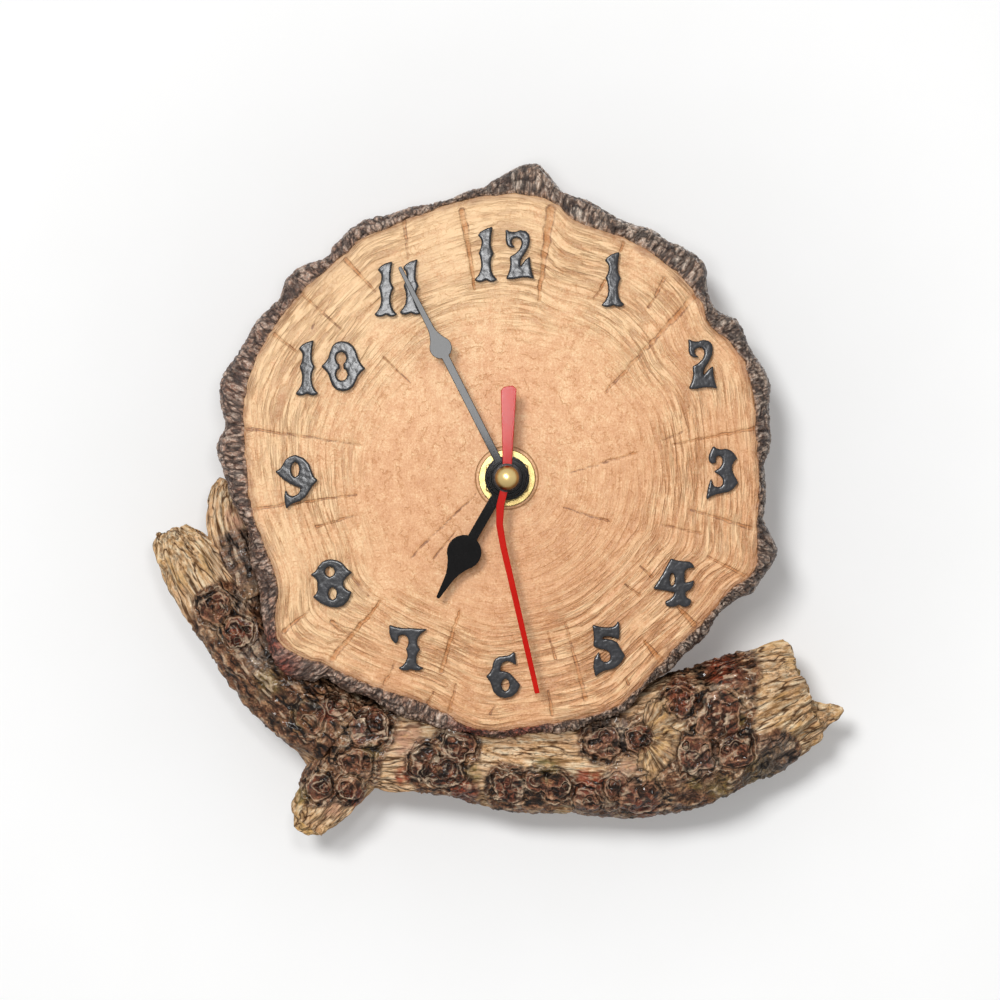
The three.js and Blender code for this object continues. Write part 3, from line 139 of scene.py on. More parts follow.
def ripple(points: Values, octaves: int = 1) -> Values:
    """Smooth noise at each point.

    Args:
        points: Points, scaled so that the noise differs from one unit to the next.
        octaves: Layers of ever finer noise.

    Returns:
        Numbers from about -1 to 1.
    """
    if octaves == 1:
        return np.array([noise.noise(point) for point in points.tolist()])
    return np.array([noise.fractal(point, 1.0, 2.0, octaves) for point in points.tolist()])


def wrinkle(points: Values) -> Values:
    """Sharp-crested noise at each point, from about -1 in its hollows to 1 on its crests."""
    crests = [noise.ridged_multi_fractal(point, *WRINKLES) for point in points.tolist()]
    return np.array(crests) * 1.5 - 1.5


def cells(points: Values) -> tuple[Values, Values]:
    """Cell noise at each point.

    Args:
        points: Points whose cells are about one unit across.

    Returns:
        How much farther the next cell's seed is than the own one, and a number from 0 to 1 that is the
        same all over a cell.
    """
    found = [noise.voronoi(point) for point in points.tolist()]
    gap = np.array([distances[1] - distances[0] for distances, _ in found])
    own = np.array([noise.cell(seeds[0] * SEED_SCALE) for _, seeds in found])
    return gap, (own + 1) / 2


def sample(places: Values, table: Values, column: int) -> Values:
    """A table's column at places along its first column."""
    return np.interp(places, table[:, 0], table[:, column])


def spline(points: Values, steps: int = 40) -> Values:
    """A smooth line through points, drawn finely.

    Args:
        points: Rows of coordinates that the line passes through.
        steps: How many rows each stretch is drawn with.

    Returns:
        The rows of the drawn line.
    """
    padded = np.vstack([2 * points[0] - points[1], points, 2 * points[-1] - points[-2]])
    share = np.linspace(0, 1, steps, endpoint=False)[:, None]
    rows = []
    for p0, p1, p2, p3 in zip(padded, padded[1:], padded[2:], padded[3:]):
        bend = -p0 + 3 * p1 - 3 * p2 + p3
        slope = 2 * p0 - 5 * p1 + 4 * p2 - p3
        rows.append(p1 + share * (p2 - p0 + share * (slope + share * bend)) / 2)
    return np.vstack([*rows, points[-1:]])


@dataclass(frozen=True)
class Outline:
    """A closed edge drawn round the arbor.

    Attributes:
        sketch: Points on the edge, x and z.
    """

    sketch: tuple[Place, ...]

    @cached_property
    def _drawn(self) -> tuple[Values, Values]:
        """The edge drawn finely, with its first and last stretch repeated past the turn.

        Returns:
            Clock angles and radii.
        """
        x, z = np.array(self.sketch).T
        angle = np.arctan2(x, z) % tau
        order = np.argsort(angle)
        ring = np.stack([angle, np.hypot(x, z)], axis=1)[order]
        turn = np.array([tau, 0.0])
        line = spline(np.vstack([ring[-2:] - turn, ring, ring[:2] + turn]), 24)
        return line[:, 0], line[:, 1]

    def radius(self, angle: Values) -> Values:
        """Distance of the edge from the arbor at clock angles."""
        return np.interp(angle % tau, *self._drawn)


def link(mesh: bpy.types.Mesh) -> bpy.types.Object:
    """A new object in the scene.

    Args:
        mesh: Its mesh, which also gives its name.

    Returns:
        The object.
    """
    thing = bpy.data.objects.new(mesh.name, mesh)
    bpy.context.scene.collection.objects.link(thing)
    return thing


def into_mesh(bm: bmesh.types.BMesh, name: str) -> bpy.types.Object:
    """A finished bmesh as an object.

    Args:
        bm: The shape, which is freed.
        name: The piece's name.

    Returns:
        The new object.
    """
    mesh = bpy.data.meshes.new(name)
    bm.to_mesh(mesh)
    bm.free()
    mesh.shade_smooth()
    mesh.set_sharp_from_angle(angle=radians(CREASE))
    return link(mesh)


@dataclass
class Relief:
    """A bent grid's points, with the marks that its finish reads.

    Attributes:
        points: Places in millimetres from the arbor.
        marks: Numbers or vectors at each point, by name.
    """

    points: Values
    marks: dict[str, Values] = field(default_factory=dict)


def bent_grid(name: str, columns: int, rows: int,
              shape: Callable[[Values, Values], Relief]) -> bpy.types.Object:
    """A grid bent into a closed surface.

    Args:
        name: The piece's name.
        columns: Grid steps round the surface.
        rows: Grid steps along it.
        shape: Gives the relief at shares across and along the grid.

    Returns:
        The new object, whose seam and poles are merged.
    """
    bm = bmesh.new()
    bmesh.ops.create_grid(bm, x_segments=columns, y_segments=rows, size=0.5)
    flat = np.array([vert.co for vert in bm.verts])
    flat = (flat - flat.min(0)) / np.maximum(np.ptp(flat, axis=0), MERGE)
    relief = shape(flat[:, 0], flat[:, 1])
    mesh = bpy.data.meshes.new(name)
    bm.to_mesh(mesh)
    mesh.vertices.foreach_set("co", GROUND.row(relief.points).astype(np.float32).ravel())
    for label, values in relief.marks.items():
        kind, key = ("FLOAT", "value") if values.ndim == 1 else ("FLOAT_VECTOR", "vector")
        mark = mesh.attributes.new(label, kind, "POINT")
        mark.data.foreach_set(key, values.astype(np.float32).ravel())
    bm.clear()
    bm.from_mesh(mesh)
    bmesh.ops.remove_doubles(bm, verts=bm.verts, dist=MERGE)
    bmesh.ops.recalc_face_normals(bm, faces=bm.faces)
    bm.to_mesh(mesh)
    bm.free()
    mesh.shade_smooth()
    return link(mesh)


# Shader kit

def tint(shade: str) -> tuple[float, float, float, float]:
    """A colour as linear light.

    Args:
        shade: The colour as six hexadecimal digits.

    Returns:
        Red, green, blue and full cover.
    """
    parts = [int(shade[i:i + 2], 16) / 255 for i in (0, 2, 4)]
    red, green, blue = (c / 12.92 if c <= 0.04045 else ((c + 0.055) / 1.055) ** 2.4 for c in parts)
    return red, green, blue, 1.0


class Wire:
    """A shader socket that takes part in Python arithmetic."""

    def __init__(self, shader: "Shader", socket: bpy.types.NodeSocket) -> None:
        """Keeps the socket and the shader that its new nodes go to."""
        self.shader = shader
        self.socket = socket

    def _math(self, operation: str, first: "Wire | float", second: "Wire | float") -> "Wire":
        """A Math node on two values."""
        return self.shader.node("ShaderNodeMath", {"operation": operation}, {0: first, 1: second})

    def __add__(self, other: "Wire | float") -> "Wire":
        """Sum."""
        return self._math("ADD", self, other)

    def __sub__(self, other: "Wire | float") -> "Wire":
        """Difference."""
        return self._math("SUBTRACT", self, other)

    def __rsub__(self, other: float) -> "Wire":
        """Difference from a number."""
        return self._math("SUBTRACT", other, self)

    def __mul__(self, other: "Wire | float") -> "Wire":
        """Product."""
        return self._math("MULTIPLY", self, other)

    __radd__ = __add__
    __rmul__ = __mul__

    def teeth(self) -> "Wire":
        """A triangle wave: 0 at each whole number and 1 half way between them."""
        share = self.shader.node("ShaderNodeMath", {"operation": "FRACT"}, {0: self})
        return self.shader.node("ShaderNodeMath", {"operation": "PINGPONG"}, {0: share * 2.0, 1: 1.0})

    def over(self, low: float, high: float) -> "Wire":
        """A soft step from 0 at low to 1 at high."""
        sockets = {"Value": self, "From Min": low, "From Max": high}
        return self.shader.node("ShaderNodeMapRange", {"interpolation_type": "SMOOTHSTEP"}, sockets)

    def band(self, start: float, rise: float, fall: float, end: float) -> "Wire":
        """A soft band: 0 up to the start, 1 from the rise to the fall, and 0 from the end."""
        return self.over(start, rise) * self.over(end, fall)


class Shader:
    """A material under construction, with its Principled surface."""

    def __init__(self, name: str) -> None:
        """Starts a material with the surface that new node trees hold.

        Args:
            name: The material's name.
        """
        self.material = bpy.data.materials.new(name)
        self.material.use_nodes = True
        self.tree = self.material.node_tree
        self.surface = self.tree.nodes["Principled BSDF"]

    def node(self, kind: str, settings: dict | None = None, sockets: dict | None = None,
             out: int | str = 0) -> Wire:
        """Any node.

        Args:
            kind: The node's type.
            settings: Its own settings, set first. stops are a ramp's places and colours.
            sockets: Values or wires for its sockets, by place, identifier or name.
            out: Which output is wanted.

        Returns:
            The wanted output.
        """
        node = self.tree.nodes.new(kind)
        for key, value in (settings or {}).items():
            if key == "stops":
                self._set_stops(node.color_ramp, value)
            else:
                setattr(node, key, value)
        for key, value in (sockets or {}).items():
            self.plug(self._socket(node, key), value)
        return Wire(self, node.outputs[out])

    @staticmethod
    def _socket(node: bpy.types.Node, key: int | str) -> bpy.types.NodeSocket:
        """Finds a node's input.

        Args:
            node: The node.
            key: The input's place, identifier or name.

        Returns:
            The socket.
        """
        if isinstance(key, int):
            return node.inputs[key]
        return next(socket for socket in node.inputs if key in (socket.identifier, socket.name))

    @staticmethod
    def _set_stops(ramp: bpy.types.ColorRamp, stops: list[tuple[float, str]]) -> None:
        """Gives a ramp its stops.

        Args:
            ramp: The ramp.
            stops: Places from 0 to 1 and their colours.
        """
        while len(ramp.elements) < len(stops):
            ramp.elements.new(1.0)
        for element, (place, shade) in zip(ramp.elements, stops):
            element.position = place
            element.color = tint(shade)

    def plug(self, socket: bpy.types.NodeSocket, value: "Wire | float | tuple | str") -> None:
        """Links or sets one socket.

        Args:
            socket: The socket.
            value: A wire to link, or what to set it to; a string is a colour.
        """
        if isinstance(value, Wire):
            self.tree.links.new(value.socket, socket)
        else:
            socket.default_value = tint(value) if isinstance(value, str) else value

    def place(self) -> Wire:
        """Object coordinates."""
        return self.node("ShaderNodeTexCoord", out="Object")

    def mark(self, name: str) -> Wire:
        """A number that the mesh carries."""
        return self.node("ShaderNodeAttribute", {"attribute_name": name}, out="Fac")

    def track(self, name: str) -> Wire:
        """A vector that the mesh carries."""
        return self.node("ShaderNodeAttribute", {"attribute_name": name}, out="Vector")

    def stretch(self, vector: Wire, scale: tuple[float, float, float]) -> Wire:
        """A vector scaled along each axis."""
        return self.node("ShaderNodeVectorMath", {"operation": "MULTIPLY"}, {0: vector, 1: scale})

    def noise(self, vector: Wire, scale: float, detail: float = 2.0, roughness: float = 0.5) -> Wire:
        """Noise from 0 to 1."""
        sockets = {"Vector": vector, "Scale": scale, "Detail": detail, "Roughness": roughness}
        return self.node("ShaderNodeTexNoise", {}, sockets)

    def creases(self, vector: Wire, scale: tuple[float, float, float], detail: float = 1.0) -> Wire:
        """Winding lines, about one unit apart when scaled: 0 along them and up to 1 between them."""
        return (self.noise(self.stretch(vector, scale), 1.0, detail) * 2.0).teeth()

    def axis(self, number: int) -> Wire:
        """Distance from the arbor along one axis, in millimetres."""
        part = self.node("ShaderNodeSeparateXYZ", {}, {0: self.place()}, out=number)
        return part * MILLI - GROUND.arbor[number] * MILLI

    def radius(self) -> Wire:
        """Distance from the arbor's line.

        Returns:
            The distance in millimetres.
        """
        x, _, z = GROUND.arbor
        off = self.node("ShaderNodeVectorMath", {"operation": "MULTIPLY_ADD"}, {
            0: self.place(), 1: (MILLI, 0.0, MILLI), 2: (-x * MILLI, 0.0, -z * MILLI)})
        return self.node("ShaderNodeVectorMath", {"operation": "LENGTH"}, {0: off}, out="Value")

    def ramp(self, value: Wire, *stops: tuple[float, str]) -> Wire:
        """A colour picked along stops."""
        return self.node("ShaderNodeValToRGB", {"stops": list(stops)}, {"Fac": value})

    def mix(self, share: Wire | float, first: Wire | str, second: Wire | str) -> Wire:
        """Two colours mixed."""
        sockets = {"Factor_Float": share, "A_Color": first, "B_Color": second}
        return self.node("ShaderNodeMix", {"data_type": "RGBA"}, sockets, out=2)

    def bump(self, height: Wire, distance: float) -> Wire:
        """A normal raised by a height, with the distance in millimetres."""
        sockets = {"Height": height, "Distance": distance / MILLI, "Strength": 1.0}
        return self.node("ShaderNodeBump", {}, sockets)

    def done(self, **sockets: "Wire | float | tuple | str") -> bpy.types.Material:
        """Finishes the surface.

        Args:
            sockets: Values or wires for its sockets, whose names are written with underscores.

        Returns:
            The material.
        """
        for key, value in sockets.items():
            self.plug(self.surface.inputs[key.replace("_", " ")], value)
        return self.material


# Finishes

@dataclass(frozen=True)
class SawnWood:
    """The slice: pale sawn wood with ring streaks, engraved arcs and radial cracks.

    The seat is the dark line that the washer leaves: its radius and half its width, in millimetres.
    """

    pale: str = "F5CC9A"
    base: str = "E3AA78"
    warm: str = "C58450"
    stroke: str = "9A6236"
    crack: str = "C27C40"
    core: str = "70401E"
    cambium: str = "8A5A36"
    seat: float = 8.15
    seat_half: float = 0.25

    def material(self) -> bpy.types.Material:
        """Makes the finish.

        Returns:
            The material.
        """
        s = Shader("sawn_wood")
        place = s.place()
        rings = s.track("flow")
        zone = s.mark("zone")
        broad = s.noise(s.stretch(rings, (0.55, 0.04, 0.04)), 1.0, 3.0, 0.55)
        gaps = s.noise(s.stretch(rings, (0.7, 0.14, 0.14)), 1.0, 3.0, 0.6)
        arcs = s.creases(rings, (0.5, 0.045, 0.045), 2.0)
        hair = s.creases(rings, (1.3, 0.1, 0.1), 2.0)
        brush, cross = (
            s.noise(s.node("ShaderNodeMapping", {}, {
                "Vector": place, "Rotation": (0.0, turn, 0.0), "Scale": scale}), 1.0)
            for turn, scale in ((0.65, (2600.0, 200.0, 160.0)), (-0.5, (2200.0, 200.0, 150.0))))
        speckle = s.noise(place, 1900.0, 4.0, 0.8)
        mottle = s.noise(place, 300.0, 4.0, 0.7)
        blotch = s.noise(place, 26.0, 2.0)
        nick = s.creases(place, (420.0, 420.0, 420.0), 3.0).over(0.16, 0.03) * gaps.over(0.48, 0.6)
        here = blotch.over(0.44, 0.56)
        scuff = brush * here + cross * (1.0 - here)
        # Painted light and shade: the side mark makes the tone paler at the top and left and darker towards
        # the lower right.
        tone = ((broad - 0.5) * zone * 0.35 + mottle * 0.6 + speckle * 0.85 + blotch * 0.3 + scuff * 0.1
                + s.mark("side") * 0.25 - zone * 0.1 - 0.5)
        colour = s.ramp(tone, (0.34, self.pale), (0.5, self.base), (0.74, self.warm))
        cut = (arcs.over(0.3, 0.04) * (0.15 + 0.85 * gaps.over(0.42, 0.56))
               + hair.over(0.36, 0.05) * gaps.over(0.6, 0.44) * 0.7) * zone
        shine = (arcs.band(0.3, 0.45, 0.6, 0.9) + gaps.over(0.5, 0.38)) * zone
        colour = s.mix(shine * 0.45, colour, self.pale)
        # Painted shade: the ring grooves are darkened towards the warm colour.
        colour = s.mix(s.mark("groove") * (0.1 + 0.5 * mottle), colour, self.warm)
        colour = s.mix(cut * (0.25 + 0.6 * speckle), colour, self.stroke)
        colour = s.mix((scuff.over(0.66, 0.76) * 0.5 + nick) * (1.0 - zone) * 0.5, colour, self.warm)
        seat = s.radius().band(self.seat - self.seat_half, self.seat, self.seat, self.seat + self.seat_half)
        colour = s.mix(seat * 0.5, colour, self.stroke)
        crack = s.mark("crack")
        worn = mottle.over(0.38, 0.6)
        colour = s.mix(crack.over(0.12, 0.5) * (0.38 + 0.35 * worn), colour, self.crack)
        edge = crack.over(0.08, 0.22) - crack.over(0.25, 0.5)
        colour = s.mix(edge * (0.15 + 0.6 * worn), colour, self.core)
        colour = s.mix(crack.over(0.75, 1.0) * (0.1 + 0.45 * worn), colour, self.core)
        colour = s.mix(s.mark("rim") * (0.1 + 0.9 * mottle), colour, self.cambium)
        rough = 0.32 + 0.22 * speckle
        height = speckle * 0.45 + mottle * 0.4 + scuff * 0.2 - nick * 0.3 - cut - seat
        return s.done(Base_Color=colour, Roughness=rough, Normal=s.bump(height, 0.25))


@dataclass(frozen=True)
class Bark:
    """The slice's bark: purple-grey brown scales and columns, painted shade in its furrows, painted
    highlights on crests.
    """

    light: str = "ECDAC8"
    mid: str = "BC967C"
    deep: str = "4A322A"
    red: str = "AA402C"
    tan: str = "C49C80"
    plum: str = "B8826C"
    chink: str = "1E1310"

    def material(self) -> bpy.types.Material:
        """Makes the finish.

        Returns:
            The material.
        """
        s = Shader("bark")
        place = s.place()
        flow = s.track("flow")
        right = s.axis(0)
        column = s.noise(s.stretch(flow, (1.6, 1.6, 0.16)), 1.0, 3.0, 0.6)
        fine = s.noise(place, 1700.0, 4.0, 0.75)
        wide = s.noise(place, 90.0, 3.0)
        crease = s.creases(flow, (0.5, 0.5, 0.2), 2.0)
        pit = s.creases(flow, (1.2, 1.2, 0.7), 2.0)
        shade = column * 0.5 + fine * 0.65 + s.mark("lump") * 0.32 + wide * 0.25 - 0.39
        colour = s.ramp(shade, (0.26, self.deep), (0.46, self.mid), (0.66, self.light))
        colour = s.mix(wide.over(0.52, 0.66) * 0.4, colour, self.tan)
        colour = s.mix(right.over(10.0, -50.0) * 0.4, colour, self.plum)
        # Painted shade: the bark darkens towards the right, away from the key lamp.
        colour = s.mix(right.over(25.0, 60.0) * 0.35, colour, self.deep)
        colour = s.mix(s.mark("rim") * (0.3 + 0.5 * fine), colour, self.tan)
        # Painted highlights: the plates' edges and the creases' crests are lightened.
        colour = s.mix(s.mark("crest") * (0.1 + 0.6 * fine), colour, self.light)
        worn = crease.band(0.4, 0.55, 0.7, 0.9) * fine.over(0.42, 0.58)
        colour = s.mix(worn * 0.6, colour, self.light)
        colour = s.mix(s.mark("red") * (0.7 + 0.25 * fine), colour, self.red)
        # Painted shade: the pits, the creases and the furrows are darkened.
        colour = s.mix(pit.over(0.4, 0.05) * 0.5, colour, self.deep)
        colour = s.mix(crease.over(0.34, 0.05) * 0.8, colour, self.chink)
        colour = s.mix(s.mark("groove") * 0.75, colour, self.chink)
        height = fine * 0.6 + column + crease.over(0.0, 0.6) * 0.9 + pit * 0.4
        return s.done(Base_Color=colour, Roughness=0.62 - 0.3 * fine, Specular_IOR_Level=0.4,
                      Normal=s.bump(height, 0.4))


class Stain(Enum):
    """Stains on the branch, each with the name of the mark that its finish reads."""

    RED = "red"
    MOSS = "moss"
    ASH = "ash"
    PINK = "pink"


@dataclass(frozen=True)
class Branch:
    """The bough and its limbs: tan grain, brown bark, pale-rimmed knots, gilded breaks, painted shade and
    highlights.
    """

    light: str = "F8E4C2"
    straw: str = "E6BE92"
    grain: str = "BC9062"
    dark: str = "4E301A"
    blush: str = "DEB08A"
    rind: str = "8E5E42"
    rind_dark: str = "3A2214"
    rind_light: str = "C0946C"
    plum: str = "8A4434"
    crest: str = "EAD0B0"
    rim: str = "C8906E"
    gold: str = "D0A664"
    chink: str = "160D08"
    stains: tuple[tuple[Stain, str, float], ...] = (
        (Stain.RED, "98351F", 0.8), (Stain.MOSS, "746C32", 0.65), (Stain.ASH, "94867A", 0.8),
        (Stain.PINK, "CA9A7E", 0.85),
    )

    def material(self) -> bpy.types.Material:
        """Makes the finish.

        Returns:
            The material.
        """
        s = Shader("branch_bark")
        place = s.place()
        flow = s.track("flow")
        fine = s.noise(place, 1500.0, 4.0, 0.7)
        mottle = s.noise(place, 420.0, 3.0, 0.6)
        broken = s.noise(place, 270.0, 2.0)
        wide = s.noise(place, 90.0, 3.0)
        strand = s.creases(flow, (0.42, 0.42, 0.07), 2.0)
        thread = s.creases(flow, (1.1, 1.1, 0.24), 2.0)
        fold = s.creases(flow, (0.34, 0.34, 0.13), 2.0)
        crinkle = s.creases(place, (820.0, 820.0, 820.0), 1.0)
        bark = s.mark("rind")
        # Painted shade: slits darken the grain where its strands dip.
        slits = strand.over(0.23, 0.03) * (0.2 + 0.75 * broken.over(0.42, 0.56))
        slits = slits + thread.over(0.24, 0.03) * broken.over(0.56, 0.42) * 0.6
        colour = self._straw(s, flow, slits, fine, wide)
        bands = s.noise(s.stretch(flow, (0.25, 0.25, 1.8)), 1.0, 3.0)
        colour = s.mix(bark, colour, self._rind(s, mottle * 0.8 + fine * 0.5 - 0.15, wide))
        for stain, shade, strength in self.stains:
            texture = bands.over(0.4, 0.6) if stain is Stain.ASH else mottle.over(0.36, 0.58)
            colour = s.mix(s.mark(stain.value) * (0.25 + 0.75 * texture) * strength, colour, shade)
        cup = s.mark("cup")
        ring = s.mark("ring")
        knot = ring.over(1.1, 0.85)
        lip = (cup.band(0.86, 1.0, 1.0, 1.16) + cup.band(0.4, 0.5, 0.5, 0.62) * 0.6
               + ring.band(0.9, 1.0, 1.0, 1.1))
        hollow = cup.over(0.95, 0.7)
        ground = s.ramp(mottle * 0.8 + fine * 0.5 - 0.15, (0.32, self.chink), (0.42, self.rind_dark),
                        (0.54, self.plum), (0.7, self.rind_light))
        colour = s.mix(knot * 0.65, colour, ground)
        # Painted shade in the cups' hollows, painted highlights on the wrinkles' crests, painted shade in the
        # crinkles.
        colour = s.mix(hollow * mottle.over(0.58, 0.42) * 0.7, colour, self.chink)
        colour = s.mix(s.mark("crest") * fine * 0.5, colour, self.crest)
        colour = s.mix(crinkle.over(0.42, 0.05) * bark * 0.45, colour, self.rind_dark)
        # Painted highlights on the crests of the folds and the collars round the knots, painted shade in
        # their hollows.
        collar = (ring * 2.5 + broken * 2.0).teeth()
        near = ring.band(0.95, 1.1, 1.4, 1.9)
        edge = fold.band(0.36, 0.5, 0.62, 0.85) * broken.over(0.44, 0.58)
        colour = s.mix((edge + collar.over(0.75, 0.95) * near) * bark * 0.5, colour, self.crest)
        chinks = (fold.over(0.34, 0.05) * (0.4 + 0.6 * broken.over(0.56, 0.4))
                  + collar.over(0.34, 0.05) * near * 0.7)
        colour = s.mix(chinks * bark, colour, self.chink)
        colour = s.mix(lip * (0.15 + 0.85 * broken.over(0.4, 0.54)) * 0.58, colour,
                       s.mix(wide.over(0.42, 0.58), self.rim, self.crest))
        gilt = s.mark("gold") * (0.4 + 0.6 * mottle.over(0.4, 0.6)) * (1.0 - slits)
        colour = s.mix(gilt * 0.9, colour, self.gold)
        # Painted shade: groove darkens chinks, slits, the knots' moats and the line under the slice's bark.
        colour = s.mix(s.mark("groove") * (0.42 + 0.2 * bark), colour, self.chink)
        bare = strand.over(0.0, 0.7) + thread * 0.4
        rough_bark = fold.over(0.0, 0.6) + crinkle * 0.45 + mottle * 0.8 + collar * near * 0.5
        height = bare * (1.0 - bark) + rough_bark * bark + fine * 0.25 + lip * 0.4 - hollow * 0.6
        return s.done(Base_Color=colour, Roughness=0.42 - 0.12 * bark + 0.15 * fine, Coat_Weight=0.2 * bark,
                      Coat_Roughness=0.06, Specular_IOR_Level=0.06, Normal=s.bump(height, 0.6))

    def _straw(self, s: Shader, flow: Wire, slits: Wire, fine: Wire, wide: Wire) -> Wire:
        """Bare grain.

        Args:
            s: The shader.
            flow: Places across and along the grain.
            slits: Painted shade in the slits along it.
            fine: Fine noise of no direction.
            wide: Broad noise.

        Returns:
            The colour.
        """
        tone = s.noise(s.stretch(flow, (1.1, 1.1, 0.14)), 1.0, 3.0, 0.55) * 0.9 + fine * 0.4 - 0.16
        colour = s.ramp(tone, (0.36, self.grain), (0.48, self.straw), (0.64, self.light))
        colour = s.mix(wide.over(0.46, 0.62) * 0.35, colour, self.blush)
        return s.mix(slits, colour, self.dark)

    def _rind(self, s: Shader, tone: Wire, wide: Wire) -> Wire:
        """Bark.

        Args:
            s: The shader.
            tone: Fine noise of no direction.
            wide: Broad noise.

        Returns:
            The colour.
        """
        colour = s.ramp(tone, (0.38, self.rind_dark), (0.5, self.rind), (0.66, self.rind_light))
        return s.mix(wide.over(0.46, 0.36) * 0.4, colour, self.straw)


@dataclass(frozen=True)
class Paint:
    """Paint or moulded plastic with a fine grain and slight wear in its tone.

    Attributes:
        name: The material's name.
        shade: Main colour.
        worn: Colour of its lighter places.
        rough: Mean roughness.
        grain: Grains per metre.
        metal: Share of metal.
        depth: Depth of the grain in millimetres.
        patch: Patches of tone per metre.
        gloss: Level of its mirror-like shine.
        hub: Colour of a bare hub round the arbor, if it has one.
        hub_radius: The hub's radius in millimetres.
    """

    name: str
    shade: str
    worn: str
    rough: float = 0.45
    grain: float = 2500.0
    metal: float = 0.0
    depth: float = 0.02
    patch: float = 150.0
    gloss: float = 0.5
    hub: str = ""
    hub_radius: float = 3.75

    def material(self) -> bpy.types.Material:
        """Makes the finish.

        Returns:
            The material.
        """
        s = Shader(self.name)
        place = s.place()
        grain = s.noise(place, self.grain, 3.0, 0.6)
        patch = s.noise(place, self.patch, 3.0)
        colour = s.mix((grain * 0.5 + patch * 0.6).over(0.35, 0.85), self.shade, self.worn)
        if self.hub:
            colour = s.mix(s.radius().over(self.hub_radius, self.hub_radius - 0.1), colour, self.hub)
        rough = self.rough - 0.08 + 0.12 * grain + 0.06 * patch
        return s.done(Base_Color=colour, Roughness=rough, Metallic=self.metal,
                      Specular_IOR_Level=self.gloss, Normal=s.bump(grain, self.depth))


@dataclass(frozen=True)
class Brass:
    """Pale polished brass, with a painted dark reflection round the ball's widest line and its lower half."""

    shade: str = "7A6A44"
    worn: str = "8C7C52"
    ball: str = "D0B67C"
    dull: str = "4A3616"

    def material(self) -> bpy.types.Material:
        """Makes the finish.

        Returns:
            The material.
        """
        s = Shader("brass")
        front, back = (corner.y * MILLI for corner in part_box("ball_cap"))
        depth = s.axis(1)
        ball = depth.over(back + 0.2, back)
        # Painted dark reflection: the ball darkens towards its widest line and its bottom.
        painted_reflection = (depth.over(front + 0.4, front + 2.8) + s.axis(2).over(0.6, -2.4) * 0.4) * ball
        patch = s.noise(s.place(), 600.0, 3.0)
        colour = s.mix(patch.over(0.35, 0.7), self.shade, self.worn)
        colour = s.mix(ball, colour, self.ball)
        colour = s.mix(painted_reflection * 0.85, colour, self.dull)
        return s.done(Base_Color=colour, Metallic=1.0, Roughness=0.2 + 0.06 * ball + 0.1 * patch)


@dataclass(frozen=True)
class CellSleeve:
    """The cell: a printed sleeve with a pale band between bare steel ends.

    Half the sleeve's length, the band's two ends and the softness of each change are in millimetres.
    """

    shade: str = "1F4A78"
    worn: str = "2F5F92"
    band: str = "B9C3CC"
    steel: str = "B4B6B8"
    half: float = 23.4
    band_from: float = -19.5
    band_to: float = -17.0
    soft: float = 0.1

    def material(self) -> bpy.types.Material:
        """Makes the finish.

        Returns:
            The material.
        """
        s = Shader("cell_sleeve")
        right = s.axis(0)
        sleeve = right.band(-self.half - self.soft, -self.half, self.half, self.half + self.soft)
        band = right.band(self.band_from - self.soft, self.band_from, self.band_to, self.band_to + self.soft)
        scuff = s.noise(s.stretch(s.place(), (120.0, 900.0, 900.0)), 1.0, 4.0, 0.7)
        colour = s.mix(scuff.over(0.4, 0.75), self.shade, self.worn)
        colour = s.mix(band, colour, self.band)
        colour = s.mix(sleeve, self.steel, colour)
        return s.done(Base_Color=colour, Roughness=0.22 + 0.2 * scuff, Metallic=1.0 - sleeve)


class Finish(Enum):
    """Finishes of the record's material slots."""

    WOOD = SawnWood()
    BARK = Bark()
    BRANCH = Branch()
    NUMERAL = Paint("numeral_black", "0E0E11", "26262C", rough=0.24, grain=1300.0, depth=0.025, gloss=0.42)
    HAND = Paint("hand_black", "070606", "0E0C0C", rough=0.1, grain=3000.0, depth=0.002, gloss=0.12)
    RED_HAND = Paint("hand_red", "BA1005", "C81C0C", rough=0.12, grain=3000.0, depth=0.002, gloss=0.11,
                     hub="3A3230")
    BRASS = Brass()
    STEEL = Paint("zinc_plate", "A9ABAD", "C9CBCC", rough=0.34, grain=1200.0, metal=1.0, depth=0.01)
    RUBBER = Paint("rubber", "141414", "232323", rough=0.85, grain=1600.0)
    BLACK_PLASTIC = Paint("black_plastic", "161617", "242425", rough=0.5, grain=2200.0, depth=0.04)
    PALE_PLASTIC = Paint("pale_plastic", "DCD3BD", "EAE4D2")
    BOARD = Paint("circuit_board", "1F5230", "2F6A40", rough=0.5, grain=800.0)
    COPPER = Paint("copper_wire", "A8552E", "C87A48", rough=0.35, grain=700.0, metal=1.0)
    MAGNET = Paint("magnet", "3C3C40", "55555A", rough=0.5, grain=1500.0, metal=0.6)
    CELL = CellSleeve()

    @cached_property
    def material(self) -> bpy.types.Material:
        """The finish's material, made once."""
        return self.value.material()


def finish_of(slot: str) -> Finish:
    """The finish of a material slot."""
    return Finish[slot.upper()]


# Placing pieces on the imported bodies

BODY_OF = {node: body for body, nodes in frame["record"]["behaviour"]["bodies"].items() for node in nodes}
SLOT_OF = {part["node"]: part["material_slot"] for part in frame["record"]["subparts"]}


def attach(piece: bpy.types.Object, node: str, slot: str) -> None:
    """Sets a piece on a solid's body.

    Args:
        piece: The piece.
        node: The solid whose body carries it.
        slot: The slot whose finish it has.
    """
    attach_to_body(piece, BODY_OF[node])
    piece.data.materials.append(finish_of(slot).material)
    LOG.info("%s: %d faces", piece.name, len(piece.data.polygons))


def settle(piece: bpy.types.Object, node: str) -> None:
    """Sets a piece in the place of a solid, with its body, slot and finish.

    Args:
        piece: The new piece.
        node: The solid that it stands for.
    """
    attach(piece, node, SLOT_OF[node])
    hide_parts(node)


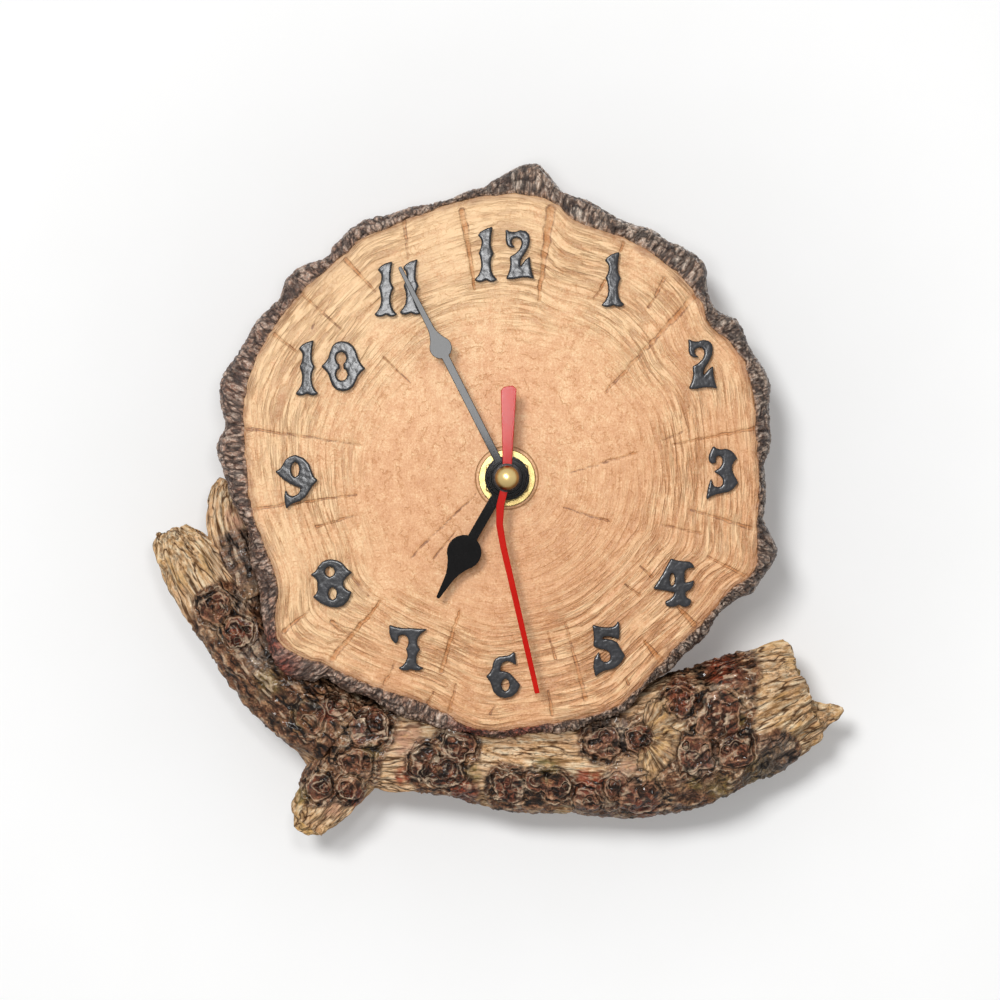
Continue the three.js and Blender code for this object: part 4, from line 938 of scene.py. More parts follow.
def merged(node: str) -> bmesh.types.BMesh:
    """A solid's shape with its points merged and its flat faces whole.

    Args:
        node: The solid.

    Returns:
        The shape.
    """
    bm = bmesh.new()
    bm.from_mesh(frame["nodes"][node].data)
    bmesh.ops.remove_doubles(bm, verts=bm.verts, dist=MERGE)
    bmesh.ops.dissolve_limit(bm, angle_limit=radians(1), verts=bm.verts, edges=bm.edges)
    return bm


def ease_edges(bm: bmesh.types.BMesh, width: float, segments: int = 2) -> None:
    """Eases a shape's sharp edges.

    Args:
        bm: The shape.
        width: Width of the eased edge, in millimetres.
        segments: Steps over the edge.
    """
    sharp = [edge for edge in bm.edges if edge.is_manifold and edge.calc_face_angle() > radians(SHARP)]
    bmesh.ops.bevel(bm, geom=sharp, offset=width / MILLI, offset_type="OFFSET", segments=segments,
                    profile=0.5, affect="EDGES", clamp_overlap=True, material=-1)


def eased(node: str, width: float, segments: int = 2) -> bpy.types.Object:
    """A copy of a solid with its sharp edges eased.

    Args:
        node: The solid.
        width: Width of the eased edge, in millimetres.
        segments: Steps over the edge.

    Returns:
        The new object.
    """
    bm = merged(node)
    ease_edges(bm, width, segments)
    piece = into_mesh(bm, f"{node}_piece")
    flat = piece.modifiers.new("flat_faces", "WEIGHTED_NORMAL")
    flat.keep_sharp = True
    flat.weight = 100
    return piece


def turned(name: str, profile: list[Place], steps: int = 64, middle: Place = (0.0, 0.0)) -> bpy.types.Object:
    """A piece turned about the arbor or a line beside it.

    Args:
        name: The piece's name.
        profile: Radii and depths in millimetres.
        steps: Steps of the turn.
        middle: Where the line is, x and z.

    Returns:
        The new object.
    """
    bm = bmesh.new()
    x, z = middle
    verts = [bm.verts.new(GROUND.point(x + radius, depth, z)) for radius, depth in profile]
    edges = [bm.edges.new(pair) for pair in zip(verts, verts[1:])]
    bmesh.ops.spin(bm, geom=verts + edges, cent=GROUND.point(x, 0, z), axis=(0, 1, 0), angle=tau,
                   steps=steps, use_merge=True)
    bmesh.ops.remove_doubles(bm, verts=bm.verts, dist=MERGE)
    bmesh.ops.recalc_face_normals(bm, faces=bm.faces)
    return into_mesh(bm, name)


def eased_ring(name: str, radii: Place, depths: Place, ease: float,
               middle: Place = (0.0, 0.0)) -> bpy.types.Object:
    """A turned ring with eased edges at its top.

    Args:
        name: The piece's name.
        radii: Inner and outer radius in millimetres.
        depths: Depths of its foot and its top.
        ease: Width of the eased edges.
        middle: Where its line is, x and z.

    Returns:
        The new object.
    """
    inner, outer = radii
    foot, top = depths
    shoulder = top + ease if foot > top else top - ease
    return turned(name, [
        (inner, foot), (inner, shoulder), (inner + ease, top), (outer - ease, top), (outer, shoulder),
        (outer, foot), (inner, foot),
    ], middle=middle)


# Slice

WOOD_EDGE = Outline((
    (1, 74), (11.5, 72), (17.5, 67), (27.5, 63.5), (36, 59.5), (44, 53.5), (49.5, 47.5), (53, 40), (60, 33),
    (63, 26.5), (65, 8), (65, -12), (64.5, -24), (57.5, -30), (43, -45), (29, -59), (19, -62.5), (6, -64.5),
    (-7, -65.5), (-23, -58), (-46, -49), (-52, -47), (-59.5, -41.5), (-60, -26), (-66, -9.5), (-68, 8),
    (-68.5, 18.5), (-66, 29), (-61, 38.5), (-43.5, 57), (-38, 62), (-26, 67), (-7, 73),
))
BARK_EDGE = Outline((
    (6.5, 82), (10.5, 80), (16.5, 74.5), (32, 66.5), (39, 64.5), (51, 56), (52.5, 50.5), (55, 44), (59.5, 41),
    (63.5, 35.5), (69, 20), (67, 2), (66, -7.5), (70, -17.5), (68.5, -23), (64.5, -29.5), (57.5, -34),
    (39, -52.5), (29, -61.5), (22, -64.5), (14.5, -66.5), (-6, -67), (-16.5, -66), (-33, -59.5),
    (-46.5, -52.5), (-51, -53.5), (-57, -52), (-62.5, -45), (-64.5, -31), (-69, -12.5), (-75.5, 7),
    (-74, 13.5), (-75, 20), (-73, 29), (-61, 45.5), (-57.5, 52.5), (-47.5, 57.5), (-44.5, 62.5), (-28.5, 70),
    (-11, 72.5), (-2, 79),
))
# The bark's least width, then the height, the counts round the slice and the twist of its ridges.
BARK_LEAST = 2.1
BARK_RIDGE = 0.7
BARK_RIDGES = (29, 19)
BARK_TWIST = 0.05
# Red patches: x, z and radius.
BARK_REDS = ((-61.8, -43.5, 4.0), (-58.5, -49.0, 4.0), (-9.0, -65.5, 5.0), (4.0, -65.0, 6.0))
# Radius of the even ring on which the edges' noise is read.
MEAN_RADIUS = 66.0
# Half a crack as a share of its width, its taper from end to end, and the least half that is drawn.
CRACK_HALF = 0.52
CRACK_TAPER = (1.15, 0.35)
CRACK_LEAST = 0.28


def wood_radius(angle: Values) -> Values:
    """Radius of the slice's slightly ragged edge at clock angles."""
    ring = stack(np.sin(angle), np.cos(angle), 0.0) * MEAN_RADIUS
    return WOOD_EDGE.radius(angle) + 0.45 * ripple(ring * 0.22) + 0.35 * ripple(ring * 0.6)


def bark_radius(angle: Values) -> Values:
    """Outer radius of the bark at clock angles."""
    return np.maximum(BARK_EDGE.radius(angle), WOOD_EDGE.radius(angle) + BARK_LEAST)


def ridges(angle: Values, depth: Values) -> Values:
    """The solid's ridges of bark.

    Args:
        angle: Clock angles.
        depth: Depths in millimetres.

    Returns:
        Heights from -1 to 1.
    """
    many, few = BARK_RIDGES
    sway = np.sin(3 * angle) + BARK_TWIST * depth
    return 0.6 * np.sin(many * angle + sway) + 0.4 * np.sin(few * angle - 2 * sway)


@dataclass(frozen=True)
class Crack:
    """A drying crack or scratch in the sawn face, from its wide end to its fine end.

    Attributes:
        wide: Its wide end, x and z.
        fine: Its fine end, x and z.
        width: Its width at the wide end.
    """

    wide: Place
    fine: Place
    width: float

    def closeness(self, x: Values, z: Values) -> Values:
        """How far inside the crack points lie.

        Args:
            x: Places to the right.
            z: Places up.

        Returns:
            Shares from 0 outside to 1 at its middle.
        """
        start = np.array(self.wide)
        along = np.array(self.fine) - start
        length = np.hypot(*along)
        reach = ((x - start[0]) * along[0] + (z - start[1]) * along[1]) / length
        share = np.clip(reach / length, 0, 1)
        off = np.hypot(x - start[0] - share * along[0], z - start[1] - share * along[1])
        half = CRACK_HALF * self.width * np.interp(share, (0, 1), CRACK_TAPER)
        drawn = np.maximum(half, CRACK_LEAST)
        return hill(off, drawn) * (half / drawn) ** 0.5


CRACKS = tuple(Crack(*values) for values in (
    ((-26.8, 66.6), (-25.7, 56.9), 0.8), ((-11.7, 69.4), (-8.3, 49.1), 1.3),
    ((-41.9, 56.7), (-34.3, 48.6), 0.9), ((-53.3, 47.8), (-42.6, 38.2), 0.6), ((-45.8, 46.3), (-51, 39), 0.6),
    ((-60.6, 37.4), (-54.6, 32.8), 0.8), ((-68.1, 13), (-38.2, 8.6), 0.6), ((-32.2, 31.5), (-25, 24.7), 0.4),
    ((11.4, 69.9), (8.2, 46.3), 1.8), ((30.2, 61.1), (29.4, 58.8), 0.7), ((26, 52), (22.6, 46.5), 0.6),
    ((41.1, 52), (36.7, 44.2), 0.8), ((48.4, 47.1), (26, 22.6), 1.1), ((64.5, 13), (43.3, 8.6), 0.7),
    ((45.5, 12), (40, 9.6), 0.5), ((-65.8, -8), (-39.3, -4.3), 0.7), ((-49.4, -12.7), (-39.9, -9.9), 0.6),
    ((-58, -40), (-51.3, -34), 0.9), ((-45.5, -47), (-32.8, -32), 1.2), ((-45.5, -37.4), (-41.6, -40.8), 0.9),
    ((-41, -25), (-34.8, -32), 0.6), ((-17, -50.2), (-12.6, -34.6), 1.0),
    ((-31.8, -53.6), (-29.4, -48.6), 0.7), ((-20.4, -58.6), (-19.2, -55.6), 0.7),
    ((-15, -60.8), (-13.3, -53.6), 0.8),
    ((-4.2, -61.4), (-3.1, -59), 0.6), ((-25, -20.5), (-8, -4.2), 0.4), ((-19.2, -20.8), (-13.3, -14), 0.4),
    ((33.3, 6.5), (16.4, 1.3), 0.5), ((26.5, -11.2), (14.6, -7.7), 0.45), ((63.4, -13), (47.8, -8.3), 0.8),
    ((50.4, -14.3), (40.3, -12.2), 0.6), ((62.1, -25.5), (52.3, -20.5), 0.8),
    ((37.7, -25.7), (34.6, -22.9), 0.6), ((34.8, -30.7), (30.7, -27.6), 0.6),
    ((48.6, -38), (44.7, -33.8), 1.3), ((40, -47.6), (35.5, -42.1), 1.4),
    ((20.5, -57.5), (15.1, -37.7), 0.9), ((12.7, -47), (10.4, -39.8), 0.6),
    ((11.8, -61.4), (10.7, -55.4), 0.8), ((31.6, -53.6), (30.9, -52), 0.7),
))


@dataclass
class Slice:
    """The log slice and its ring of bark.

    Attributes:
        columns: Grid steps round the slice.
        hole_rows: Grid steps up the arbor's hole.
        face_rows: Grid steps over the sawn face.
        back_rows: Grid steps round the edge, over the back and through the pocket.
        hole: Radius of the arbor's hole.
        pocket_half: Half the pocket's width.
        pocket_low: How far the pocket reaches below the arbor.
        pocket_high: How far it reaches above.
        pocket_floor: Depth of its floor.
        ring_zone: Radius at which the engraved rings start.
        groove_depth: Depth of the rings' grooves.
        crack_depth: Depth of the cracks.
        bark_columns: Grid steps round the bark.
        bark_rows: Grid steps over it.
        lip: How far the bark stands out before the sawn face.
        slope: Depth at which the bark's front has turned into its side.
        wall_gap: How far the bark's back keeps from the wall.
        bark_width: The bark's usual width.
    """

    columns: int = 500
    hole_rows: int = 4
    face_rows: int = 158
    back_rows: int = 23
    hole: float = 4.3
    pocket_half: float = 29.5
    pocket_low: float = 29.43
    pocket_high: float = 48.35
    pocket_floor: float = -22.02
    ring_zone: float = 40.0
    groove_depth: float = 0.22
    crack_depth: float = 0.6
    bark_columns: int = 1120
    bark_rows: int = 84
    lip: float = 0.8
    slope: float = 8.0
    wall_gap: float = 1.5
    bark_width: float = 5.0

    def build(self) -> None:
        """Builds the sawn slice and the bark."""
        settle(bent_grid("log_slice", self.columns, self._rows, self._wood), "wood_slice")
        settle(bent_grid("bark_ring", self.bark_columns, self.bark_rows, self._bark), "bark_rim")

    @property
    def _rows(self) -> int:
        """Grid steps up the hole, over the face and round the back to the hole again."""
        return self.hole_rows + self.face_rows + self.back_rows

    @staticmethod
    def _angles(share: Values) -> Values:
        """Clock angles that crowd beside the cracks.

        Args:
            share: Even shares of the turn.

        Returns:
            The angles.
        """
        grid = np.linspace(0, tau, 4000)
        weight = np.ones_like(grid)
        for crack in CRACKS:
            for x, z in (crack.wide, crack.fine):
                gap = (grid - np.arctan2(x, z) + pi) % tau - pi
                weight += 2.2 * hill(gap, radians(1.3))
        return spread(share, weight) * tau

    def _pocket(self, angle: Values) -> Values:
        """Distance from the arbor to the pocket's wall.

        Args:
            angle: Clock angles.

        Returns:
            The distances.
        """
        across = self.pocket_half / np.maximum(np.abs(np.sin(angle)), MERGE)
        up = np.where(np.cos(angle) > 0, self.pocket_high, self.pocket_low)
        return np.minimum(across, up / np.maximum(np.abs(np.cos(angle)), MERGE))

    def _wood(self, across: Values, along: Values) -> Relief:
        """The slice's surface: hole, sawn face, edge, back and pocket.

        Args:
            across: Shares of the turn.
            along: Shares of the way over the surface.

        Returns:
            The relief with its marks.
        """
        angle = self._angles(across)
        edge = wood_radius(angle)
        pocket = self._pocket(angle)
        face = GROUND.face
        row = np.rint(along * self._rows)
        brink = self.hole_rows
        rim = brink + self.face_rows
        weight = np.interp(np.linspace(0, 1, 400), [0, 0.5, 0.62, 1], [0.55, 0.7, 1.4, 1.4])
        share = spread(np.clip((row - brink) / self.face_rows, 0, 1), weight)
        stations = [
            (0, self.hole, self.pocket_floor), (2, self.hole, face + 0.8), (3, self.hole, face + 0.2),
            (brink, self.hole + 0.1, face), (rim, edge, face), (rim + 1, edge + 0.1, face + 0.3),
            (rim + 7, edge, -0.4), (rim + 8, edge - 0.4, 0), (rim + 16, pocket + 0.3, 0),
            (rim + 17, pocket, -0.3), (rim + 19, pocket, self.pocket_floor),
            (self._rows, self.hole, self.pocket_floor),
        ]
        radius = np.zeros_like(along)
        depth = np.zeros_like(along)
        for (start, r0, y0), (end, r1, y1) in zip(stations, stations[1:]):
            here = (row >= start) & (row <= end)
            part = share if end == rim else (row - start) / (end - start)
            radius = np.where(here, r0 + part * (r1 - r0), radius)
            depth = np.where(here, y0 + part * (y1 - y0), depth)
        x = radius * np.sin(angle)
        z = radius * np.cos(angle)
        on_face = smooth(face + 0.6, face + 0.1, depth)
        return self._cut_face(x, depth, z, radius, edge, on_face)

    def _cut_face(self, x: Values, depth: Values, z: Values, radius: Values, edge: Values,
                  on_face: Values) -> Relief:
        """Engraves rings and cracks into the sawn face.

        Args:
            x: Places to the right.
            depth: Places back.
            z: Places up.
            radius: Distances from the arbor.
            edge: Distances of the edge beyond them.
            on_face: 1 on the sawn face and 0 elsewhere.

        Returns:
            The relief with its marks.
        """
        share = radius / edge
        calm = WOOD_EDGE.radius(np.arctan2(x, z))
        ring = radius * (1 + smooth(0.3, 1.0, share) * (MEAN_RADIUS / calm - 1))
        ring += 1.4 * ripple(stack(x * 0.035, z * 0.035, 3.0)) + 0.1 * ripple(stack(x * 0.16, z * 0.16, 8.0))
        outer = smooth(self.ring_zone - 10, self.ring_zone + 8, ring)
        lower = 0.45 * hill(np.hypot(x - 28, z + 24), 30)
        block = smooth(-0.5, 0.45, ripple(stack(x * 0.08, z * 0.08, 9.0)))
        zone = np.clip(outer * (0.35 + 0.65 * block) + lower, 0, 1) * on_face
        zone += 0.6 * smooth(12, 40, ring) * smooth(-0.5, -0.1, depth)
        coarse = ripple(stack(ring * 0.8, x * 0.05, z * 0.05))
        fine = ripple(stack(ring * 1.7, x * 0.1 + 40, z * 0.1))
        groove = np.clip(smooth(0.1, 0.45, coarse) * 0.7 + smooth(0.15, 0.5, fine) * 0.6, 0, 1) * zone
        wander = ripple(stack(x * 0.35, z * 0.35, 5.0)) * 0.3 + ripple(stack(x * 1.1, z * 1.1, 2.0)) * 0.18
        crack = np.zeros_like(x)
        for gap in CRACKS:
            crack = np.maximum(crack, gap.closeness(x + wander, z - wander) * min(1.0, 0.3 + 0.6 * gap.width))
        crack *= on_face * (0.75 + 0.35 * ripple(stack(x * 0.5, z * 0.5, 12.0)))
        lift = 0.12 * ripple(stack(x * 0.06, z * 0.06, 1.0)) * on_face
        inward = np.where(depth < GROUND.face / 2, self.groove_depth, -self.groove_depth)
        depth = depth + inward * groove + self.crack_depth * crack + lift
        # Painted light and shade: side is low at the top and left and high towards the lower right, where it
        # darkens the face's tone.
        side = np.clip(0.5 + 0.35 * (x - z) / 75 - 0.4 * smooth(25, 60, z), -0.4, 1)
        rim = smooth(2.2, 0.2, edge - radius + 1.1 * ripple(stack(x * 0.3, z * 0.3, 21.0))) * on_face
        return Relief(stack(x, depth, z), {
            "groove": groove * (1 - crack), "crack": crack, "side": side, "zone": zone, "rim": rim,
            "flow": stack(ring, x, z)})

    def _bark(self, across: Values, along: Values) -> Relief:
        """The bark's surface, from under the wood's edge, over its front and round to its back.

        Args:
            across: Shares of the turn.
            along: Shares of the way over the surface.

        Returns:
            The relief with its marks.
        """
        angle = across * tau
        inner = wood_radius(angle)
        width = np.maximum(bark_radius(angle) - inner, BARK_LEAST - 0.6)
        face = GROUND.face
        stations = np.array([
            (0.0, -0.3, 0.0, 1.5), (0.04, 0.0, 0.0, -0.1), (0.10, 0.0, 0.12, -self.lip),
            (0.30, 0.0, 0.45, -self.lip * 0.6), (0.48, 0.0, 0.8, 1.6), (0.6, 0.0, 0.96, 4.4),
            (0.68, 0.0, 1.0, self.slope), (0.86, 0.0, 1.0, -face - 6),
            (0.93, 0.0, 0.9, -face - self.wall_gap), (0.97, -0.3, 0.0, -face - self.wall_gap),
            (1.0, -0.3, 0.0, 1.5),
        ])
        step = 1e-3
        fixed, part, back = (sample(along, stations, i) for i in (1, 2, 3))
        slope_out, slope_back = (
            sample(along + step, stations, i) - sample(along - step, stations, i) for i in (2, 3))
        slope_out = slope_out * width + MERGE
        size = np.hypot(slope_out, slope_back)
        depth = face + back
        radius = inner + fixed + part * (width + BARK_RIDGE * ridges(angle, depth))
        lengths = np.hypot(np.diff(stations[:, 2]) * self.bark_width, np.diff(stations[:, 3]))
        reach = np.interp(along, stations[:, 0], np.concatenate([[0.0], np.cumsum(lengths)]))
        flow = stack(np.sin(angle) * MEAN_RADIUS, np.cos(angle) * MEAN_RADIUS, reach)
        bent = flow + 0.7 * stack(ripple(flow * 0.3), ripple(flow * 0.3 + 31.0), ripple(flow * 0.3 + 77.0))
        gap, own = cells(bent * (0.5, 0.5, 0.17))
        column = ripple(bent * (1.0, 1.0, 0.1))
        grit = ripple(bent * (1.5, 1.5, 0.7) + 9.0, 3)
        plate = smooth(0.0, 0.2, gap)
        cover = smooth(0.03, 0.14, along) * smooth(0.97, 0.9, along)
        height = cover * (0.8 * plate * (0.5 + 0.7 * own) + 0.4 * column + 0.4 * grit - 0.6)
        radius = radius + 0.5 * height * slope_back / size
        depth = depth - height * slope_out / size
        x = radius * np.sin(angle)
        z = radius * np.cos(angle)
        red = np.max([hill(np.hypot(x - right, z - up), wide) for right, up, wide in BARK_REDS], axis=0)
        # Painted shade: furrow is high where the relief is low; crest marks a painted highlight along the
        # plates' edges.
        furrow = (0.95 * (1 - smooth(0.03, 0.16, gap)) + 0.6 * smooth(0.15, 0.5, -column)
                  + 0.5 * smooth(0.25, 0.6, -grit))
        rim = smooth(1.4, 0.3, part * width + 0.6 * grit) * smooth(0.4, 0.3, along)
        return Relief(stack(x, depth, z), {
            "groove": np.clip(furrow * cover, 0, 1), "lump": own, "crest": hill(gap - 0.22, 0.08) * cover,
            "red": red, "rim": rim, "flow": flow})


# Branch

# Depth of the limbs' middles, and their depth as a share of their width.
BRANCH_MIDDLE = -16.4
BRANCH_FLATNESS = 0.82
# Humps of the solids: their height as a share of the radius, then counts and twists.
LIMB_HUMP = 0.045
LIMB_HUMPS = ((3, 0.1), (5, -0.17))
# Turn from one knot's cups to the next one's, and each cup's bore and offset as shares of its knot.
GOLDEN_TURN = 2.4
CUPS = ((0.56, 0.28), (0.4, 0.6), (0.3, 0.68))
# A distance past every knot's reach.
FAR_OFF = 9.0


def humps(turn: Values, reach: Values) -> Values:
    """The solid's humps at angles round a limb and lengths along it, as a share of its radius."""
    return sum(LIMB_HUMP * np.sin(count * turn + twist * reach) for count, twist in LIMB_HUMPS)


class Tip(Enum):
    """How a limb ends: the height of its splinters and the depth of its hollow."""

    BROKEN = (1.8, 0.6)
    HOLLOW = (1.6, 3.0)
    ROUND = (0.5, -2.6)
    SPIKE = (0.2, 0.0)


@dataclass
class Skin:
    """A limb's skin while it is carved.

    Attributes:
        start: Points of the smooth limb.
        flow: Places across and along its grain.
        grit: Fine roughness, from -1 to 1.
        height: Relief in millimetres.
        groove: Painted shade in chinks, slits, hollows and along the slice's bark.
        crest: Painted highlights on crests.
        rind: Where bark covers the grain.
        gold: Gilding.
        ring: Distance from the nearest knot's middle, as a share of its rim's radius.
        cup: Distance from the nearest cup's middle, as a share of its lip's radius.
    """

    start: Values
    flow: Values
    grit: Values
    height: Values
    groove: Values
    crest: Values
    rind: Values
    gold: Values
    ring: Values
    cup: Values

    def blend(self, where: Values, share: Values, **marks: Values | float) -> None:
        """Moves marks towards new values.

        Args:
            where: Which points are moved.
            share: How far each of them goes, from 0 to 1.
            marks: The new values by name.
        """
        for name, value in marks.items():
            mark = getattr(self, name)
            mark[where] += (value - mark[where]) * share

    def raise_to(self, where: Values, **marks: Values) -> None:
        """Lifts marks to new values where these are higher.

        Args:
            where: Which points are lifted.
            marks: The new values by name.
        """
        for name, value in marks.items():
            mark = getattr(self, name)
            mark[where] = np.maximum(mark[where], value)


@dataclass(frozen=True)
class Rosette:
    """A knot grown over with bark: a dome with a rim round a few cups, whose hollows get painted shade.

    Attributes:
        x: Place to the right.
        z: Place up.
        size: Radius of its rim.
    """

    x: float
    z: float
    size: float

    def carve(self, skin: Skin, depth: float, number: int) -> None:
        """Carves the knot.

        Args:
            skin: The limb's skin.
            depth: Depth of the limb's front at the knot.
            number: The knot's place in its row, which turns its cups.
        """
        off = (skin.start - np.array((self.x, depth, self.z))) / self.size
        where = np.flatnonzero(np.linalg.norm(off, axis=1) < 1.9)
        off = off[where]
        spot = skin.start[where] * 0.3 + number * 5.3
        bend = (0.32 * ripple(spot + shift) + 0.12 * ripple(spot * 4 + shift) for shift in (0.0, 40.0))
        right, up = off[:, 0] + next(bend), off[:, 2] + next(bend)
        far = np.sqrt(right ** 2 + up ** 2 + (0.5 * off[:, 1]) ** 2)
        inside = smooth(1.3, 1.05, far)
        rim = hill(far - 1, 0.13)
        moat = hill(far - 1.22, 0.1)
        dome = 0.3 * self.size * (1 - np.minimum(far, 1) ** 2) + 0.25 * skin.grit[where]
        # Painted shade in the dome's grit and in the moat round the rim.
        skin.blend(where, inside, height=dome + 0.45 * rim, groove=0.35 * smooth(0.2, 0.5, -skin.grit[where]),
                   crest=0.0, rind=1.0, gold=0.0)
        skin.height[where] -= 0.5 * moat
        skin.raise_to(where, groove=0.6 * moat)
        skin.ring[where] = np.minimum(skin.ring[where], far)
        for cup, (bore, shift) in enumerate(CUPS[:1 + number % 2 + (self.size > 3.5)]):
            turn = number * GOLDEN_TURN + cup * tau / 3
            gap = np.hypot(right - shift * np.cos(turn), up - shift * np.sin(turn)) / bore
            skin.height[where] += inside * (0.3 * hill(gap - 1.05, 0.25) - 0.6 * smooth(1.0, 0.7, gap)
                                            + 0.4 * hill(gap, 0.3))
            skin.cup[where] = np.minimum(skin.cup[where], gap)


@dataclass(frozen=True)
class Fan:
    """Gilded folds that fan out to the right of a knot.

    Attributes:
        x: Place to the right.
        z: Place up.
        size: How far the folds reach.
    """

    x: float
    z: float
    size: float

    def carve(self, skin: Skin) -> None:
        """Carves the folds.

        Args:
            skin: The limb's skin.
        """
        right = skin.start[:, 0] - self.x
        up = skin.start[:, 2] - self.z
        far = np.hypot(right, up)
        where = np.flatnonzero((far < 2 * self.size) & (skin.start[:, 1] < BRANCH_MIDDLE))
        turn = np.arctan2(up, right)[where]
        far = far[where]
        spot = skin.start[where] * 0.3
        fold = np.sin(9 * turn + 6 * ripple(spot) + 1.5 * ripple(spot * 3))
        near = smooth(0.32, 0.5, far / self.size) * smooth(1.5, 0.9, far / self.size + 0.4 * ripple(spot + 9))
        near *= smooth(1.8, 1.1, np.abs(turn + 0.15))
        # Painted shade in the troughs between the folds.
        skin.blend(where, near, height=0.5 + 0.85 * fold, groove=1.7 * smooth(-0.2, -0.7, fold), rind=0.0)
        skin.raise_to(where, gold=near * (0.1 + 0.6 * smooth(0.0, 0.8, fold)))
        fanned = stack(turn * self.size, 0.0, far)
        skin.flow[where] = np.where((near > 0.3)[:, None], fanned, skin.flow[where])


@dataclass
class Limb:
    """One limb of the branch.

    Attributes:
        name: The piece's name.
        node: The solid that it stands for.
        sketch: Stations along its middle: x, z and radius.
        knots: Rosettes on its front.
        tip: How it ends.
        columns: Grid steps round it.
        rows: Grid steps along it.
        rinds: Patches of bark: x, z and radius.
        fans: Gilded folds.
        stains: Places of each stain: x, z and radius.
        bare: Length of the bare, coarse-grained stretch before its end.
        root_share: Share of the rows that close its root.
        tip_share: Share of the rows that close its tip.
    """

    name: str
    node: str
    sketch: tuple[Station, ...]
    knots: tuple[Rosette, ...] = ()
    tip: Tip = Tip.BROKEN
    columns: int = 150
    rows: int = 200
    rinds: tuple[Station, ...] = ()
    fans: tuple[Fan, ...] = ()
    stains: dict[Stain, tuple[Station, ...]] = field(default_factory=dict)
    bare: float = 8.0
    root_share: float = 0.03
    tip_share: float = 0.10

    def build(self) -> None:
        """Builds the limb."""
        settle(bent_grid(self.name, self.columns, self.rows, self._surface), self.node)

    @cached_property
    def _line(self) -> Values:
        """The middle line, drawn finely.

        Returns:
            Rows of the length so far, x, z and radius.
        """
        line = spline(np.array(self.sketch, float))
        steps = np.hypot(np.diff(line[:, 0]), np.diff(line[:, 1]))
        return np.column_stack([np.concatenate([[0.0], np.cumsum(steps)]), line])

    def _front(self, x: float, z: float) -> float:
        """Depth of the limb's front at a place on it.

        Args:
            x: Place to the right.
            z: Place up.

        Returns:
            The depth in millimetres.
        """
        _, right, up, radius = self._line.T
        gaps = np.hypot(right - x, up - z)
        nearest = int(np.argmin(gaps))
        share = min(gaps[nearest] / radius[nearest], 1.0)
        return BRANCH_MIDDLE - BRANCH_FLATNESS * radius[nearest] * (1 - share * share) ** 0.5

    def _surface(self, across: Values, along: Values) -> Relief:
        """The limb's surface from its root to its broken end.

        Args:
            across: Shares of the turn round it.
            along: Shares of the way along it.

        Returns:
            The relief with its marks.
        """
        line = self._line
        whole = line[-1, 0]
        turn = spread(across, 1.25 + np.cos(np.linspace(0, tau, 360))) * tau - pi / 2
        root = np.clip(along / self.root_share, 0, 1)
        cap = np.clip((along - 1 + self.tip_share) / self.tip_share, 0, 1)
        reach = np.clip((along - self.root_share) / (1 - self.root_share - self.tip_share), 0, 1) * whole
        x0, z0, radius = (sample(reach, line, i) for i in (1, 2, 3))
        dx, dz = (sample(reach + 1, line, i) - sample(reach - 1, line, i) for i in (1, 2))
        size = np.hypot(dx, dz)
        dx, dz = dx / size, dz / size
        radius = radius * (1 + humps(turn, reach))
        ring = (root ** 0.5) * (1 - cap)
        cosine, sine = np.cos(turn), np.sin(turn)
        flow = stack((1 - cap) * radius * cosine, (1 - cap) * radius * sine, reach)
        jag, hollow = self.tip.value
        section = stack(ring * radius * cosine, ring * radius * sine, 7.0)
        tear = jag * ripple(section * 0.22) + 0.3 * jag * ripple(section * (0.7, 0.7, 1), 2)
        ending = smooth(whole - 7, whole, reach)
        push = ending * tear - hollow * smooth(0.0, 0.7, cap)
        start = stack(
            x0 - dz * ring * radius * cosine + dx * push,
            BRANCH_MIDDLE + BRANCH_FLATNESS * ring * radius * sine,
            z0 + dx * ring * radius * cosine + dz * push)
        skin = self._grain(start, flow, smooth(whole - self.bare - 5, whole - self.bare + 5, reach))
        self._cover(skin)
        for number, knot in enumerate(self.knots):
            knot.carve(skin, self._front(knot.x, knot.z), number)
        for fan in self.fans:
            fan.carve(skin)
        self._seat(skin)
        body = (1 - cap) * root
        height = skin.height * body + (1 - body) * 0.5 * ripple(start * 1.1)
        gold = np.maximum(skin.gold, smooth(0.0, 0.15, cap)) * smooth(1.0, 0.4, cap)
        points = start + stack(-dz * cosine, sine, dx * cosine) * height[:, None]
        stains = {kind.value: self._stain(start, kind) for kind in Stain}
        return Relief(points, {
            "groove": np.clip(skin.groove * (1 - 0.4 * gold), 0, 1), "rind": skin.rind * (1 - cap),
            "crest": skin.crest, "gold": gold, "ring": skin.ring, "cup": skin.cup, "flow": skin.flow,
            **stains})

    def _stain(self, start: Values, kind: Stain) -> Values:
        """How strongly a stain colours points.

        Args:
            start: Points of the smooth limb.
            kind: The stain.

        Returns:
            Strengths from 0 to 1.
        """
        share = np.zeros(len(start))
        wander = 0.35 * ripple(start * 0.3)
        for x, z, size in self.stains.get(kind, ()):
            far = np.hypot(start[:, 0] - x, start[:, 2] - z) / size
            share = np.maximum(share, smooth(1.3, 0.5, far + wander))
        return share

